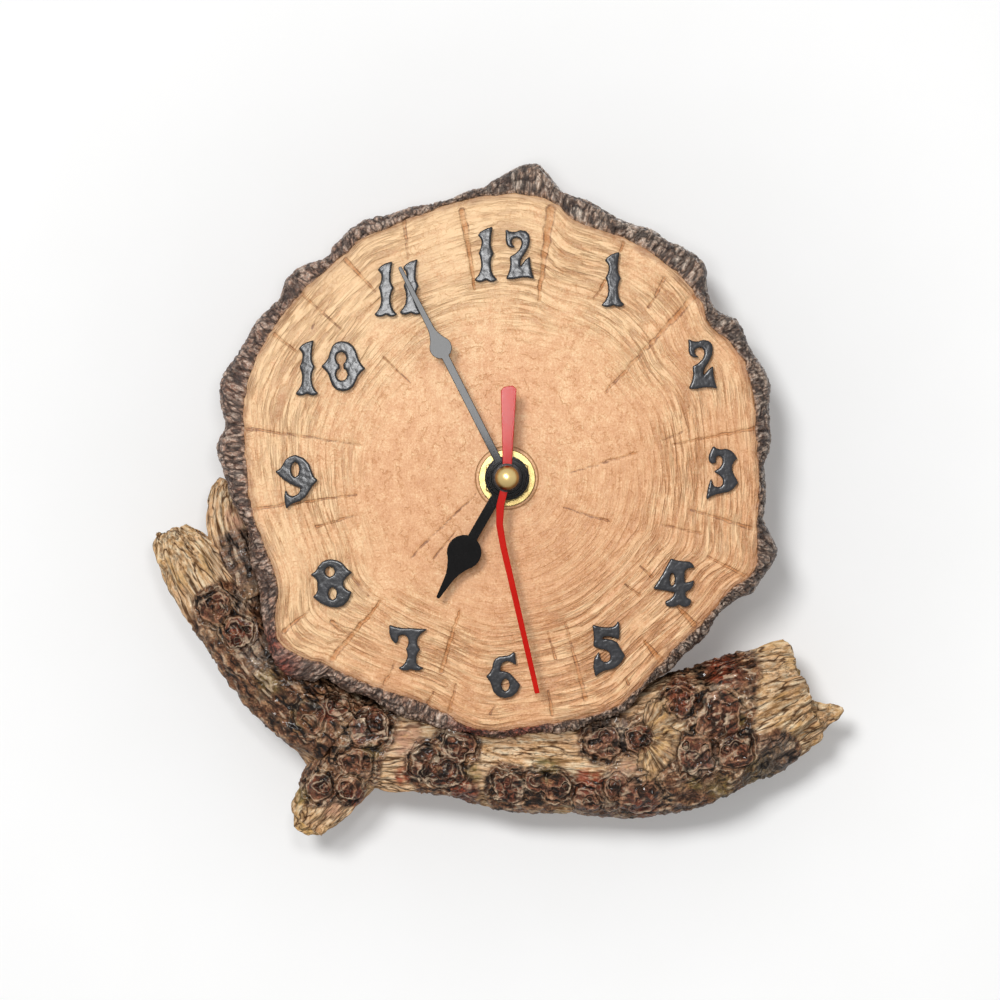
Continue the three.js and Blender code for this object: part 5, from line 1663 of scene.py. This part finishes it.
    @staticmethod
    def _grain(start: Values, flow: Values, bare: Values) -> Skin:
        """Bare grain: long strands with slits darkened by painted shade, coarse and gilded where the limb is
        bare.

        Args:
            start: Points of the smooth limb.
            flow: Places across and along its grain.
            bare: 1 on the bare stretch and 0 elsewhere.

        Returns:
            The skin.
        """
        warp = ripple(flow * (0.12, 0.12, 0.06)) * 1.6
        bent = flow + stack(warp, -warp, warp)
        crease = ripple(bent * (0.5, 0.5, 0.08))
        fibre = ripple(bent * (1.2, 1.2, 0.2), 2)
        swirl = ripple(bent * (0.32, 0.32, 0.045) + 60)
        grit = ripple(start * 0.7, 2)
        fine = 1.4 * np.abs(crease) + 0.45 * fibre - 0.45
        coarse = 2.6 * np.abs(swirl) + 0.3 * fibre - 0.7
        # Painted shade: slits and clefts darken the grain's hollows.
        slits = 0.7 * hill(crease, 0.05) + 0.4 * smooth(0.3, 0.6, -fibre)
        clefts = 1.2 * hill(swirl, 0.07) + 0.8 * smooth(0.22, 0.55, -fibre)
        count = len(start)
        return Skin(
            start, flow, grit, height=fine + (coarse - fine) * bare, groove=slits + (clefts - slits) * bare,
            crest=np.zeros(count), rind=np.zeros(count),
            gold=bare * (0.1 + 0.4 * smooth(0.2, 0.45, np.abs(swirl))),
            ring=np.full(count, FAR_OFF), cup=np.full(count, FAR_OFF))

    def _cover(self, skin: Skin) -> None:
        """Covers the places round the knots with wrinkled bark.

        Args:
            skin: The limb's skin.
        """
        start = skin.start
        cover = np.zeros(len(start))
        for x, z, size in (*((knot.x, knot.z, knot.size) for knot in self.knots), *self.rinds):
            far = np.hypot(start[:, 0] - x, start[:, 2] - z)
            cover = np.maximum(cover, smooth(2.2 * size, 1.1 * size, far))
        cover = smooth(0.25, 0.7, cover + 0.4 * ripple(start * 0.16) + 0.25 * ripple(start * 0.5) - 0.05)
        folds = wrinkle(start * 0.26 + 0.15 * skin.grit[:, None])
        # Painted shade in the wrinkles' hollows and the grit's dips, painted highlights on the wrinkles'
        # crests.
        chinks = 0.6 * smooth(-0.25, -0.85, folds) + 0.35 * smooth(0.25, 0.6, -skin.grit)
        skin.blend(slice(None), cover, height=0.5 * folds + 0.25 * skin.grit, groove=chinks,
                   crest=0.7 * smooth(0.35, 0.85, folds), rind=1.0, gold=0.0)

    @staticmethod
    def _seat(skin: Skin) -> None:
        """Paints shadow along the line where the limb meets the slice's bark.

        Args:
            skin: The limb's skin.
        """
        x, z = skin.start[:, 0], skin.start[:, 2]
        gap = np.hypot(x, z) - bark_radius(np.arctan2(x, z))
        # Painted shadow under the slice's bark.
        skin.groove = np.maximum(skin.groove, hill(gap, 1.3))
        skin.gold *= smooth(0.5, 2.5, gap)


def rosettes(*places: Station) -> tuple[Rosette, ...]:
    """Knots at places."""
    return tuple(Rosette(*place) for place in places)


LIMBS = (
    Limb(
        "bough_bark", "bough",
        sketch=(
            (-46, -69, 10.5), (-34, -69.5, 12.4), (-22.5, -69.5, 13), (-2, -71, 14.6), (19, -73, 15.6),
            (34.5, -72.5, 16.6), (50, -67.5, 17), (64, -61.5, 16.4), (72, -58, 14.8), (78, -55.5, 13),
        ),
        knots=rosettes(
            (-36.4, -64.6, 5), (-39.5, -74.8, 4.2), (-20.5, -74.8, 4.2), (-15.8, -76.6, 4),
            (-13, -69.6, 4.2), (0.4, -81, 4), (7.6, -79.2, 2.8), (13, -80.6, 3.4), (20.5, -84, 3.2),
            (28.3, -80.4, 3), (34.6, -83.4, 4.8), (25, -69, 4), (34.6, -67.8, 3.6), (45.2, -58, 3.6),
            (55.5, -62.6, 6), (49, -72, 4.6), (59.4, -71.4, 4.2),
        ),
        columns=205, rows=440,
        rinds=(
            (-41, -68, 6), (-15, -83, 5), (5, -84, 5), (27, -85, 5), (43, -82, 5), (52, -54, 6),
            (58, -51, 5), (64, -74, 5), (25, -66, 4), (51, -81, 4), (58, -79, 4), (65, -76, 4),
            (71, -71.5, 3.5),
        ),
        fans=(Fan(34.8, -67.2, 7.8),),
        stains={
            Stain.RED: ((56.7, -50.6, 5), (46, -56.5, 4), (-27, -78, 2.6), (-12, -82, 4), (0, -81, 3),
                        (21, -79, 4), (36, -85, 4)),
            Stain.ASH: ((26.5, -66, 6), (-38, -66, 4), (50, -73.5, 4), (71, -74, 6), (54, -56, 2.5)),
            Stain.MOSS: ((-9, -77, 2.4), (10.5, -76, 3.5), (-36, -71, 3), (49, -79.5, 2.2), (61, -63, 2),
                         (66, -77, 5), (56, -81, 4)),
            Stain.PINK: ((31, -77, 4), (-26, -69, 5)),
        },
        bare=10.0,
    ),
    Limb(
        "bough_spike", "bough",
        sketch=((66, -62, 8), (72, -63.2, 7.4), (79, -63.5, 5.5), (84, -62.3, 3.2), (88.5, -60.8, 0.8)),
        tip=Tip.SPIKE, columns=90, rows=70, rinds=((72, -69, 4),), bare=12.0,
    ),
    Limb(
        "left_limb_bark", "left_limb",
        sketch=(
            (-43.5, -67, 11.5), (-52.5, -60, 10.6), (-61.5, -51.5, 10), (-69.5, -42, 9.6),
            (-76, -33, 9.4), (-82, -23.5, 8.8), (-86.5, -16.5, 6.4), (-88, -13.5, 4.2),
        ),
        knots=rosettes((-76.4, -34, 3.8), (-70.4, -40.4, 3.6), (-51.2, -62.4, 3.8), (-44.4, -59.6, 2.8)),
        tip=Tip.HOLLOW, columns=140, rows=220,
        rinds=((-66, -46, 8), (-57, -55, 8), (-73, -37, 6), (-50, -62, 7)),
        stains={
            Stain.RED: ((-70.4, -40.6, 3.4), (-47, -61, 3)), Stain.ASH: ((-65, -46, 5), (-69, -31, 4)),
            Stain.MOSS: ((-62, -53, 4), (-53, -62, 4)),
        },
        bare=16.0,
    ),
    Limb(
        "side_twig_bark", "side_twig",
        sketch=((-66, -31, 6.5), (-70, -21, 6.5), (-73, -11, 5.6), (-73.5, -4.5, 4.4), (-73, -0.5, 2.4)),
        columns=100, rows=100, rinds=((-67, -27, 7), (-69, -20, 4)),
        stains={Stain.ASH: ((-69, -21, 8),), Stain.PINK: ((-71, -10.5, 3.5),)},
        bare=4.0,
    ),
    Limb(
        "foot_stub_bark", "foot_stub",
        sketch=((-41, -74, 9.5), (-46, -81, 8.4), (-50, -86.5, 6.8), (-53, -90.5, 4.8)),
        knots=rosettes((-49.2, -80.8, 3.4), (-41.4, -81, 3)),
        tip=Tip.ROUND, columns=130, rows=100, rinds=((-44, -77, 5),),
        stains={
            Stain.PINK: ((-46, -86, 3),), Stain.RED: ((-40, -83, 3),), Stain.MOSS: ((-54, -83, 2.4),),
        },
        bare=6.0,
    ),
)


# Dial

@dataclass
class Dial:
    """The raised numerals and the brass round the arbor.

    Attributes:
        voxel: Grain of the cast figures.
        soften: Rounds of softening of their edges.
        hammer: Height of their hammered surface.
        hammer_scale: Dents per metre.
        swell: How far the softened figures are filled out again.
        washer: The washer's inner and outer radius.
        washer_ease: Width of its eased edges.
        eased_nodes: Other solids with the width and steps of their eased edges.
    """

    voxel: float = 0.2
    soften: int = 6
    hammer: float = 0.035
    hammer_scale: float = 900.0
    swell: float = 0.12
    washer: Place = (4.2, 7.4)
    washer_ease: float = 0.2
    eased_nodes: tuple[tuple[str, float, int], ...] = (("dial_nut", 0.3, 3), ("bushing", 0.15, 2))

    def build(self) -> None:
        """Builds the numerals, the washer and the nut."""
        for node, slot in SLOT_OF.items():
            if slot == "numeral":
                settle(self._numeral(node), node)
        front, back = (corner.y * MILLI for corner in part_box("dial_washer"))
        settle(eased_ring("washer_brass", self.washer, (back, front), self.washer_ease), "dial_washer")
        for node, width, segments in self.eased_nodes:
            settle(eased(node, width, segments), node)

    def _numeral(self, node: str) -> bpy.types.Object:
        """A cast figure: its solid with soft edges and a slightly hammered surface.

        Args:
            node: The solid.

        Returns:
            The figure.
        """
        mesh = bpy.data.meshes.new(f"{node}_cast")
        bm = merged(node)
        bm.to_mesh(mesh)
        bm.free()
        figure = link(mesh)
        remesh = figure.modifiers.new("cast", "REMESH")
        remesh.mode = "VOXEL"
        remesh.voxel_size = self.voxel / MILLI
        soften = figure.modifiers.new("soften", "SMOOTH")
        soften.iterations = self.soften
        evaluated = figure.evaluated_get(bpy.context.evaluated_depsgraph_get())
        cast = bpy.data.meshes.new_from_object(evaluated)
        cast.name = mesh.name
        figure.modifiers.clear()
        figure.data = cast
        bpy.data.meshes.remove(mesh)
        points = np.empty(len(cast.vertices) * 3, np.float32)
        cast.vertices.foreach_get("co", points)
        points = points.reshape(-1, 3)
        normals = np.array([vert.normal for vert in cast.vertices])
        lift = self.swell + self.hammer * ripple(points * self.hammer_scale, 2)
        points += normals * (lift / MILLI)[:, None]
        cast.vertices.foreach_set("co", points.astype(np.float32).ravel())
        cast.shade_smooth()
        return figure


@dataclass
class Hands:
    """The hour, minute and second hands and the ball that caps them.

    Attributes:
        ease: Width of the eased edges.
        ball_radius: The ball's radius.
        ball_seat: Radius of its flat seat.
        ball_steps: Steps over the ball's profile.
        collars: Hands that have a collar, with its inner and outer radius.
        collar_height: How far a collar stands out.
    """

    ease: float = 0.16
    ball_radius: float = 3.15
    ball_seat: float = 2.3
    ball_steps: int = 24
    collars: tuple[tuple[str, float, float], ...] = (("hour_hand", 4.9, 5.5), ("minute_hand", 4.0, 4.6))
    collar_height: float = 0.4

    def build(self) -> None:
        """Builds the three hands, the collars on their hubs and the cap."""
        for node in ("hour_hand", "minute_hand", "second_hand"):
            settle(eased(node, self.ease), node)
        for node, inner, outer in self.collars:
            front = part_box(node)[0].y * MILLI
            depths = (front + self.ease, front - self.collar_height)
            attach(eased_ring(f"{node}_collar", (inner, outer), depths, self.ease), node, "hand")
        settle(self._ball(), "ball_cap")

    def _ball(self) -> bpy.types.Object:
        """A turned ball, flat where it sits on the second hand.

        Returns:
            The ball.
        """
        front, back = (corner.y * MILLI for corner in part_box("ball_cap"))
        radius = self.ball_radius
        middle = front + radius
        profile = [(0.0, back), (self.ball_seat, back)]
        for angle in np.linspace(np.arcsin(self.ball_seat / radius), pi, self.ball_steps)[:-1]:
            profile.append((radius * np.sin(angle), middle + radius * np.cos(angle)))
        return turned("ball_brass", [*profile, (0.0, front)], 2 * self.ball_steps)


# Movement

@dataclass
class Movement:
    """The quartz movement behind the dial, with its hanger, knob and cell.

    Attributes:
        eased_nodes: Solids with the width of their eased edges.
        screw_places: Where the cover's screws are, x and z.
        screw_radius: Radius of a screw's head.
        screw_height: Height of its dome.
        slot_half: Half the width of its cross slot.
        slot_reach: How far the slot reaches from the middle.
        slot_ease: How softly the slot's walls start.
        border: How far the cover's border keeps from its edge.
        moulding: Height of the mouldings.
        moulding_ease: Width of their eased edges.
        sunk: How far they start inside the cover.
        collar_gap: Gap between the knob and its collar.
        collar_width: The collar's width.
        rib_count: How many ribs there are.
        rib_pitch: From one rib to the next.
        rib_length: A rib's length.
        rib_width: A rib's width, and the border's.
        rib_corner: Lower left corner of the lowest rib, x and z.
    """

    eased_nodes: tuple[tuple[str, float], ...] = (
        ("front_case", 0.4), ("rear_cover", 0.4), ("hanger", 0.15), ("setting_knob", 0.2), ("cell", 0.5),
        ("gasket", 0.2), ("positive_contact", 0.08), ("negative_contact", 0.08),
    )
    screw_places: tuple[Place, ...] = ((-24.5, 24.2), (24.5, 24.2), (-24.5, -8.0), (24.5, -8.0))
    screw_radius: float = 1.9
    screw_height: float = 0.55
    slot_half: float = 0.28
    slot_reach: float = 1.2
    slot_ease: float = 0.06
    border: float = 2.4
    moulding: float = 0.35
    moulding_ease: float = 0.1
    sunk: float = 0.2
    collar_gap: float = 0.9
    collar_width: float = 1.1
    rib_count: int = 6
    rib_pitch: float = 2.4
    rib_length: float = 15.0
    rib_width: float = 1.0
    rib_corner: Place = (-20.5, 4.0)

    def build(self) -> None:
        """Builds the outer pieces, and dresses the solids of the train inside."""
        for node, ease in self.eased_nodes:
            settle(eased(node, ease), node)
        for node, thing in frame["nodes"].items():
            thing.data.materials.clear()
            thing.data.materials.append(finish_of(SLOT_OF[node]).material)
        for moulding in (self._border(), self._ribs(), self._knob_collar()):
            attach(moulding, "rear_cover", "black_plastic")
        for number, place in enumerate(self.screw_places, 1):
            attach(self._screw(f"cover_screw_{number}", place), "rear_cover", "steel")

    @cached_property
    def _cover_back(self) -> float:
        """Depth of the rear cover's outer face."""
        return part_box("rear_cover")[1].y * MILLI

    def _border(self) -> bpy.types.Object:
        """The cover's moulded border.

        Returns:
            The piece.
        """
        low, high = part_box("rear_cover")
        bm = bmesh.new()
        bmesh.ops.create_grid(bm, x_segments=1, y_segments=1, size=0.5)
        inner = self.border / MILLI
        for vert in bm.verts:
            x = high.x - inner if vert.co.x > 0 else low.x + inner
            z = high.z - inner if vert.co.y > 0 else low.z + inner
            vert.co = Vector((x, (self._cover_back - self.sunk) / MILLI, z))
        middle = bm.faces[:]
        bmesh.ops.inset_region(bm, faces=middle, thickness=self.rib_width / MILLI, use_boundary=True,
                               use_even_offset=True)
        bmesh.ops.delete(bm, geom=middle, context="FACES_ONLY")
        return self._raised(bm, "cover_border")

    def _ribs(self) -> bpy.types.Object:
        """The cover's row of ribs.

        Returns:
            The piece.
        """
        bm = bmesh.new()
        x, low = self.rib_corner
        foot = self._cover_back - self.sunk
        for rib in range(self.rib_count):
            z = low + rib * self.rib_pitch
            bm.faces.new([
                bm.verts.new(GROUND.point(x + right * self.rib_length, foot, z + up * self.rib_width))
                for right, up in ((0, 0), (1, 0), (1, 1), (0, 1))])
        return self._raised(bm, "cover_ribs")

    def _knob_collar(self) -> bpy.types.Object:
        """The collar round the setting knob.

        Returns:
            The piece.
        """
        low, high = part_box("setting_knob")
        x = (low.x + high.x) / 2 * MILLI - GROUND.arbor[0] * MILLI
        z = (low.z + high.z) / 2 * MILLI - GROUND.arbor[2] * MILLI
        inner = (high.x - low.x) / 2 * MILLI + self.collar_gap
        depths = (self._cover_back - self.sunk, self._cover_back + self.moulding)
        radii = (inner, inner + self.collar_width)
        return eased_ring("knob_collar", radii, depths, self.moulding_ease, (x, z))

    def _raised(self, bm: bmesh.types.BMesh, name: str) -> bpy.types.Object:
        """A moulding with eased edges, raised from flat faces on the cover.

        Args:
            bm: The flat faces, which are freed.
            name: The piece's name.

        Returns:
            The piece.
        """
        raised = bmesh.ops.extrude_face_region(bm, geom=bm.faces[:], use_keep_orig=True)
        moved = [item for item in raised["geom"] if isinstance(item, bmesh.types.BMVert)]
        bmesh.ops.translate(bm, verts=moved, vec=(0, (self.moulding + self.sunk) / MILLI, 0))
        bmesh.ops.recalc_face_normals(bm, faces=bm.faces)
        ease_edges(bm, self.moulding_ease)
        return into_mesh(bm, name)

    def _screw(self, name: str, place: Place) -> bpy.types.Object:
        """A low domed screw head with a cross slot.

        Args:
            name: The piece's name.
            place: Where it is, x and z.

        Returns:
            The piece.
        """
        def head(across: Values, along: Values) -> Relief:
            """The head's surface.

            Args:
                across: Shares of the turn.
                along: Shares of the way from under its edge to its middle.

            Returns:
                The relief.
            """
            angle = across * tau
            radius = self.screw_radius * np.where(along < 0.1, 1.0, (1 - along) / 0.9)
            right, up = radius * np.cos(angle), radius * np.sin(angle)
            dome = self.screw_height * (1 - (radius / self.screw_radius) ** 4)
            near, wide = np.sort(np.abs([right, up]), axis=0)
            soft = self.slot_ease
            slot = smooth(self.slot_half + soft, self.slot_half - soft, near)
            slot *= smooth(self.slot_reach + soft, self.slot_reach - soft, wide)
            depth = self._cover_back + np.where(along < 0.05, -0.3, dome * (1 - 0.9 * slot))
            return Relief(stack(place[0] + right, depth, place[1] + up))

        return bent_grid(name, 96, 60, head)


# Studio

@dataclass
class Studio:
    """Camera, lamps and the pale wall that the clock hangs on.

    Attributes:
        distance: From the camera to the sawn face.
        view_width: Width that the camera sees at the face.
        aim_x: The view's middle, to the right of the arbor.
        aim_z: The view's middle, up from the arbor.
        sky: Light of the sky.
        sun: Strength of the key lamp.
        sun_size: The angle that it fills, in degrees.
        sun_direction: Where it shines.
        back_sun: Strength of the lamp from behind.
        back_sun_size: The angle that it fills.
        back_sun_direction: Where it shines.
        fill: Power of the front lamp that lights without a mirror image.
        fill_distance: From it to the face.
        sheen: Power of the front lamp that is only mirrored.
        sheen_size: Width and height of both front lamps, in metres.
        sheen_place: Where both are, x and z.
        sheen_distance: From the mirrored one to the face.
        wall_size: The wall's width in metres.
        wall_depth: How far it lies behind the clock's back.
        wall_shades: Colours of its paint.
        wall_fade: Radii between which it turns clear.
        glow: Its own light.
        glow_shades: Colours of that light near the clock and farther off, dimmer near it as a painted shade.
        glow_fade: Radii between which they change.
    """

    distance: float = 1200.0
    view_width: float = 260.0
    aim_x: float = -1.82
    aim_z: float = -5.72
    sky: float = 0.4
    sun: float = 1.65
    sun_size: float = 14.0
    sun_direction: tuple[float, float, float] = (0.30, 1.0, -0.36)
    back_sun: float = 0.8
    back_sun_size: float = 20.0
    back_sun_direction: tuple[float, float, float] = (-0.25, -1.0, -0.5)
    fill: float = 0.34
    fill_distance: float = 400.0
    sheen: float = 0.44
    sheen_size: Place = (0.064, 0.068)
    sheen_place: Place = (-23.0, 45.0)
    sheen_distance: float = 300.0
    wall_size: float = 1.0
    wall_depth: float = 0.6
    wall_shades: tuple[str, str] = ("E1E1E0", "E4E4E4")
    wall_fade: Place = (190.0, 330.0)
    glow: float = 0.22
    glow_shades: tuple[str, str] = ("D8D8D8", "FFFFFF")
    glow_fade: Place = (85.0, 165.0)

    def build(self) -> None:
        """Sets up the studio."""
        scene = bpy.context.scene
        scene.view_settings.view_transform = "Standard"
        self._camera(scene)
        self._world(scene)
        self._sun("key", self.sun_direction, self.sun, self.sun_size)
        self._sun("behind", self.back_sun_direction, self.back_sun, self.back_sun_size)
        self._front_lamp("fill", self.fill, self.fill_distance).visible_glossy = False
        self._front_lamp("sheen", self.sheen, self.sheen_distance).visible_diffuse = False
        self._wall()

    def _camera(self, scene: bpy.types.Scene) -> None:
        """A camera square to the dial.

        Args:
            scene: The scene that it is for.
        """
        data = bpy.data.cameras.new("camera")
        data.angle = 2 * atan(self.view_width / 2 / self.distance)
        data.clip_end = 20.0
        camera = bpy.data.objects.new("camera", data)
        camera.location = GROUND.point(self.aim_x, GROUND.face - self.distance, self.aim_z)
        camera.rotation_euler = (pi / 2, 0, 0)
        scene.collection.objects.link(camera)
        scene.camera = camera

    def _world(self, scene: bpy.types.Scene) -> None:
        """An even sky that is white where it is seen.

        Args:
            scene: The scene that it is for.
        """
        world = bpy.data.worlds.new("sky")
        world.use_nodes = True
        scene.world = world
        tree = world.node_tree
        path = tree.nodes.new("ShaderNodeLightPath")
        seen = path.outputs["Is Camera Ray"]
        for ray in ("Is Glossy Ray", "Is Transmission Ray"):
            either = tree.nodes.new("ShaderNodeMath")
            either.operation = "MAXIMUM"
            tree.links.new(seen, either.inputs[0])
            tree.links.new(path.outputs[ray], either.inputs[1])
            seen = either.outputs[0]
        level = tree.nodes.new("ShaderNodeMapRange")
        level.inputs["To Min"].default_value = self.sky
        level.inputs["To Max"].default_value = 1.0
        tree.links.new(seen, level.inputs["Value"])
        background = tree.nodes["Background"]
        background.inputs["Color"].default_value = (1, 1, 1, 1)
        tree.links.new(level.outputs["Result"], background.inputs["Strength"])

    @staticmethod
    def _lamp(name: str, kind: str, towards: Vector) -> bpy.types.Object:
        """A lamp that shines along a direction.

        Args:
            name: The lamp's name.
            kind: The lamp's type.
            towards: The direction.

        Returns:
            The lamp.
        """
        lamp = bpy.data.objects.new(name, bpy.data.lights.new(name, kind))
        lamp.rotation_euler = towards.to_track_quat("-Z", "Y").to_euler()
        bpy.context.scene.collection.objects.link(lamp)
        return lamp

    def _sun(self, name: str, direction: tuple[float, float, float], strength: float, size: float) -> None:
        """A parallel lamp with soft shadows.

        Args:
            name: The lamp's name.
            direction: Where it shines.
            strength: Its strength.
            size: The angle that it fills, in degrees.
        """
        lamp = self._lamp(name, "SUN", Vector(direction))
        lamp.data.energy = strength
        lamp.data.angle = radians(size)

    def _front_lamp(self, name: str, strength: float, distance: float) -> bpy.types.Object:
        """A soft lamp above the camera.

        Args:
            name: The lamp's name.
            strength: Its power in watts.
            distance: How far it is from the face.

        Returns:
            The lamp, which the camera doesn't see.
        """
        x, z = self.sheen_place
        spot = GROUND.point(x, GROUND.face - distance, z)
        lamp = self._lamp(name, "AREA", GROUND.point(x, GROUND.face, z) - spot)
        lamp.location = spot
        lamp.data.energy = strength
        lamp.data.shape = "RECTANGLE"
        lamp.data.size, lamp.data.size_y = self.sheen_size
        lamp.visible_camera = False
        return lamp

    def _wall(self) -> None:
        """The wall: white near the clock from the front, clear farther off, to lamps and from behind."""
        bm = bmesh.new()
        bmesh.ops.create_grid(bm, x_segments=1, y_segments=1, size=self.wall_size / 2)
        for vert in bm.verts:
            vert.co = Vector((vert.co.x, self.wall_depth / MILLI, vert.co.y))
        bmesh.ops.recalc_face_normals(bm, faces=bm.faces)
        if next(iter(bm.faces)).normal.y > 0:
            bmesh.ops.reverse_faces(bm, faces=bm.faces)
        wall = into_mesh(bm, "wall")
        s = Shader("wall_paint")
        grain = s.noise(s.place(), 40.0, 3.0)
        far = s.radius()
        # Painted shade: the glow is dimmer near the clock, a soft grey halo round it on the wall.
        s.done(Base_Color=s.mix(grain, *self.wall_shades), Roughness=0.9, Specular_IOR_Level=0.1,
               Emission_Color=s.mix(far.over(*self.glow_fade), *self.glow_shades),
               Emission_Strength=self.glow)
        hidden = s.node("ShaderNodeNewGeometry", out="Backfacing")
        for ray in ("Is Shadow Ray", "Is Diffuse Ray"):
            hidden = hidden + s.node("ShaderNodeLightPath", out=ray)
        hidden = hidden.over(0.4, 0.6) + far.over(*self.wall_fade)
        clear = s.node("ShaderNodeBsdfTransparent")
        whole = s.node("ShaderNodeMixShader", {}, {0: hidden, 1: Wire(s, s.surface.outputs[0]), 2: clear})
        s.tree.links.new(whole.socket, s.tree.nodes["Material Output"].inputs["Surface"])
        wall.data.materials.append(s.material)


def main() -> None:
    """Builds the clock's looks in order."""
    logging.basicConfig(level=logging.INFO, format="%(name)s: %(message)s")
    Studio().build()
    Slice().build()
    for limb in LIMBS:
        limb.build()
    Dial().build()
    Hands().build()
    Movement().build()


if __name__ == "__main__":
    main()
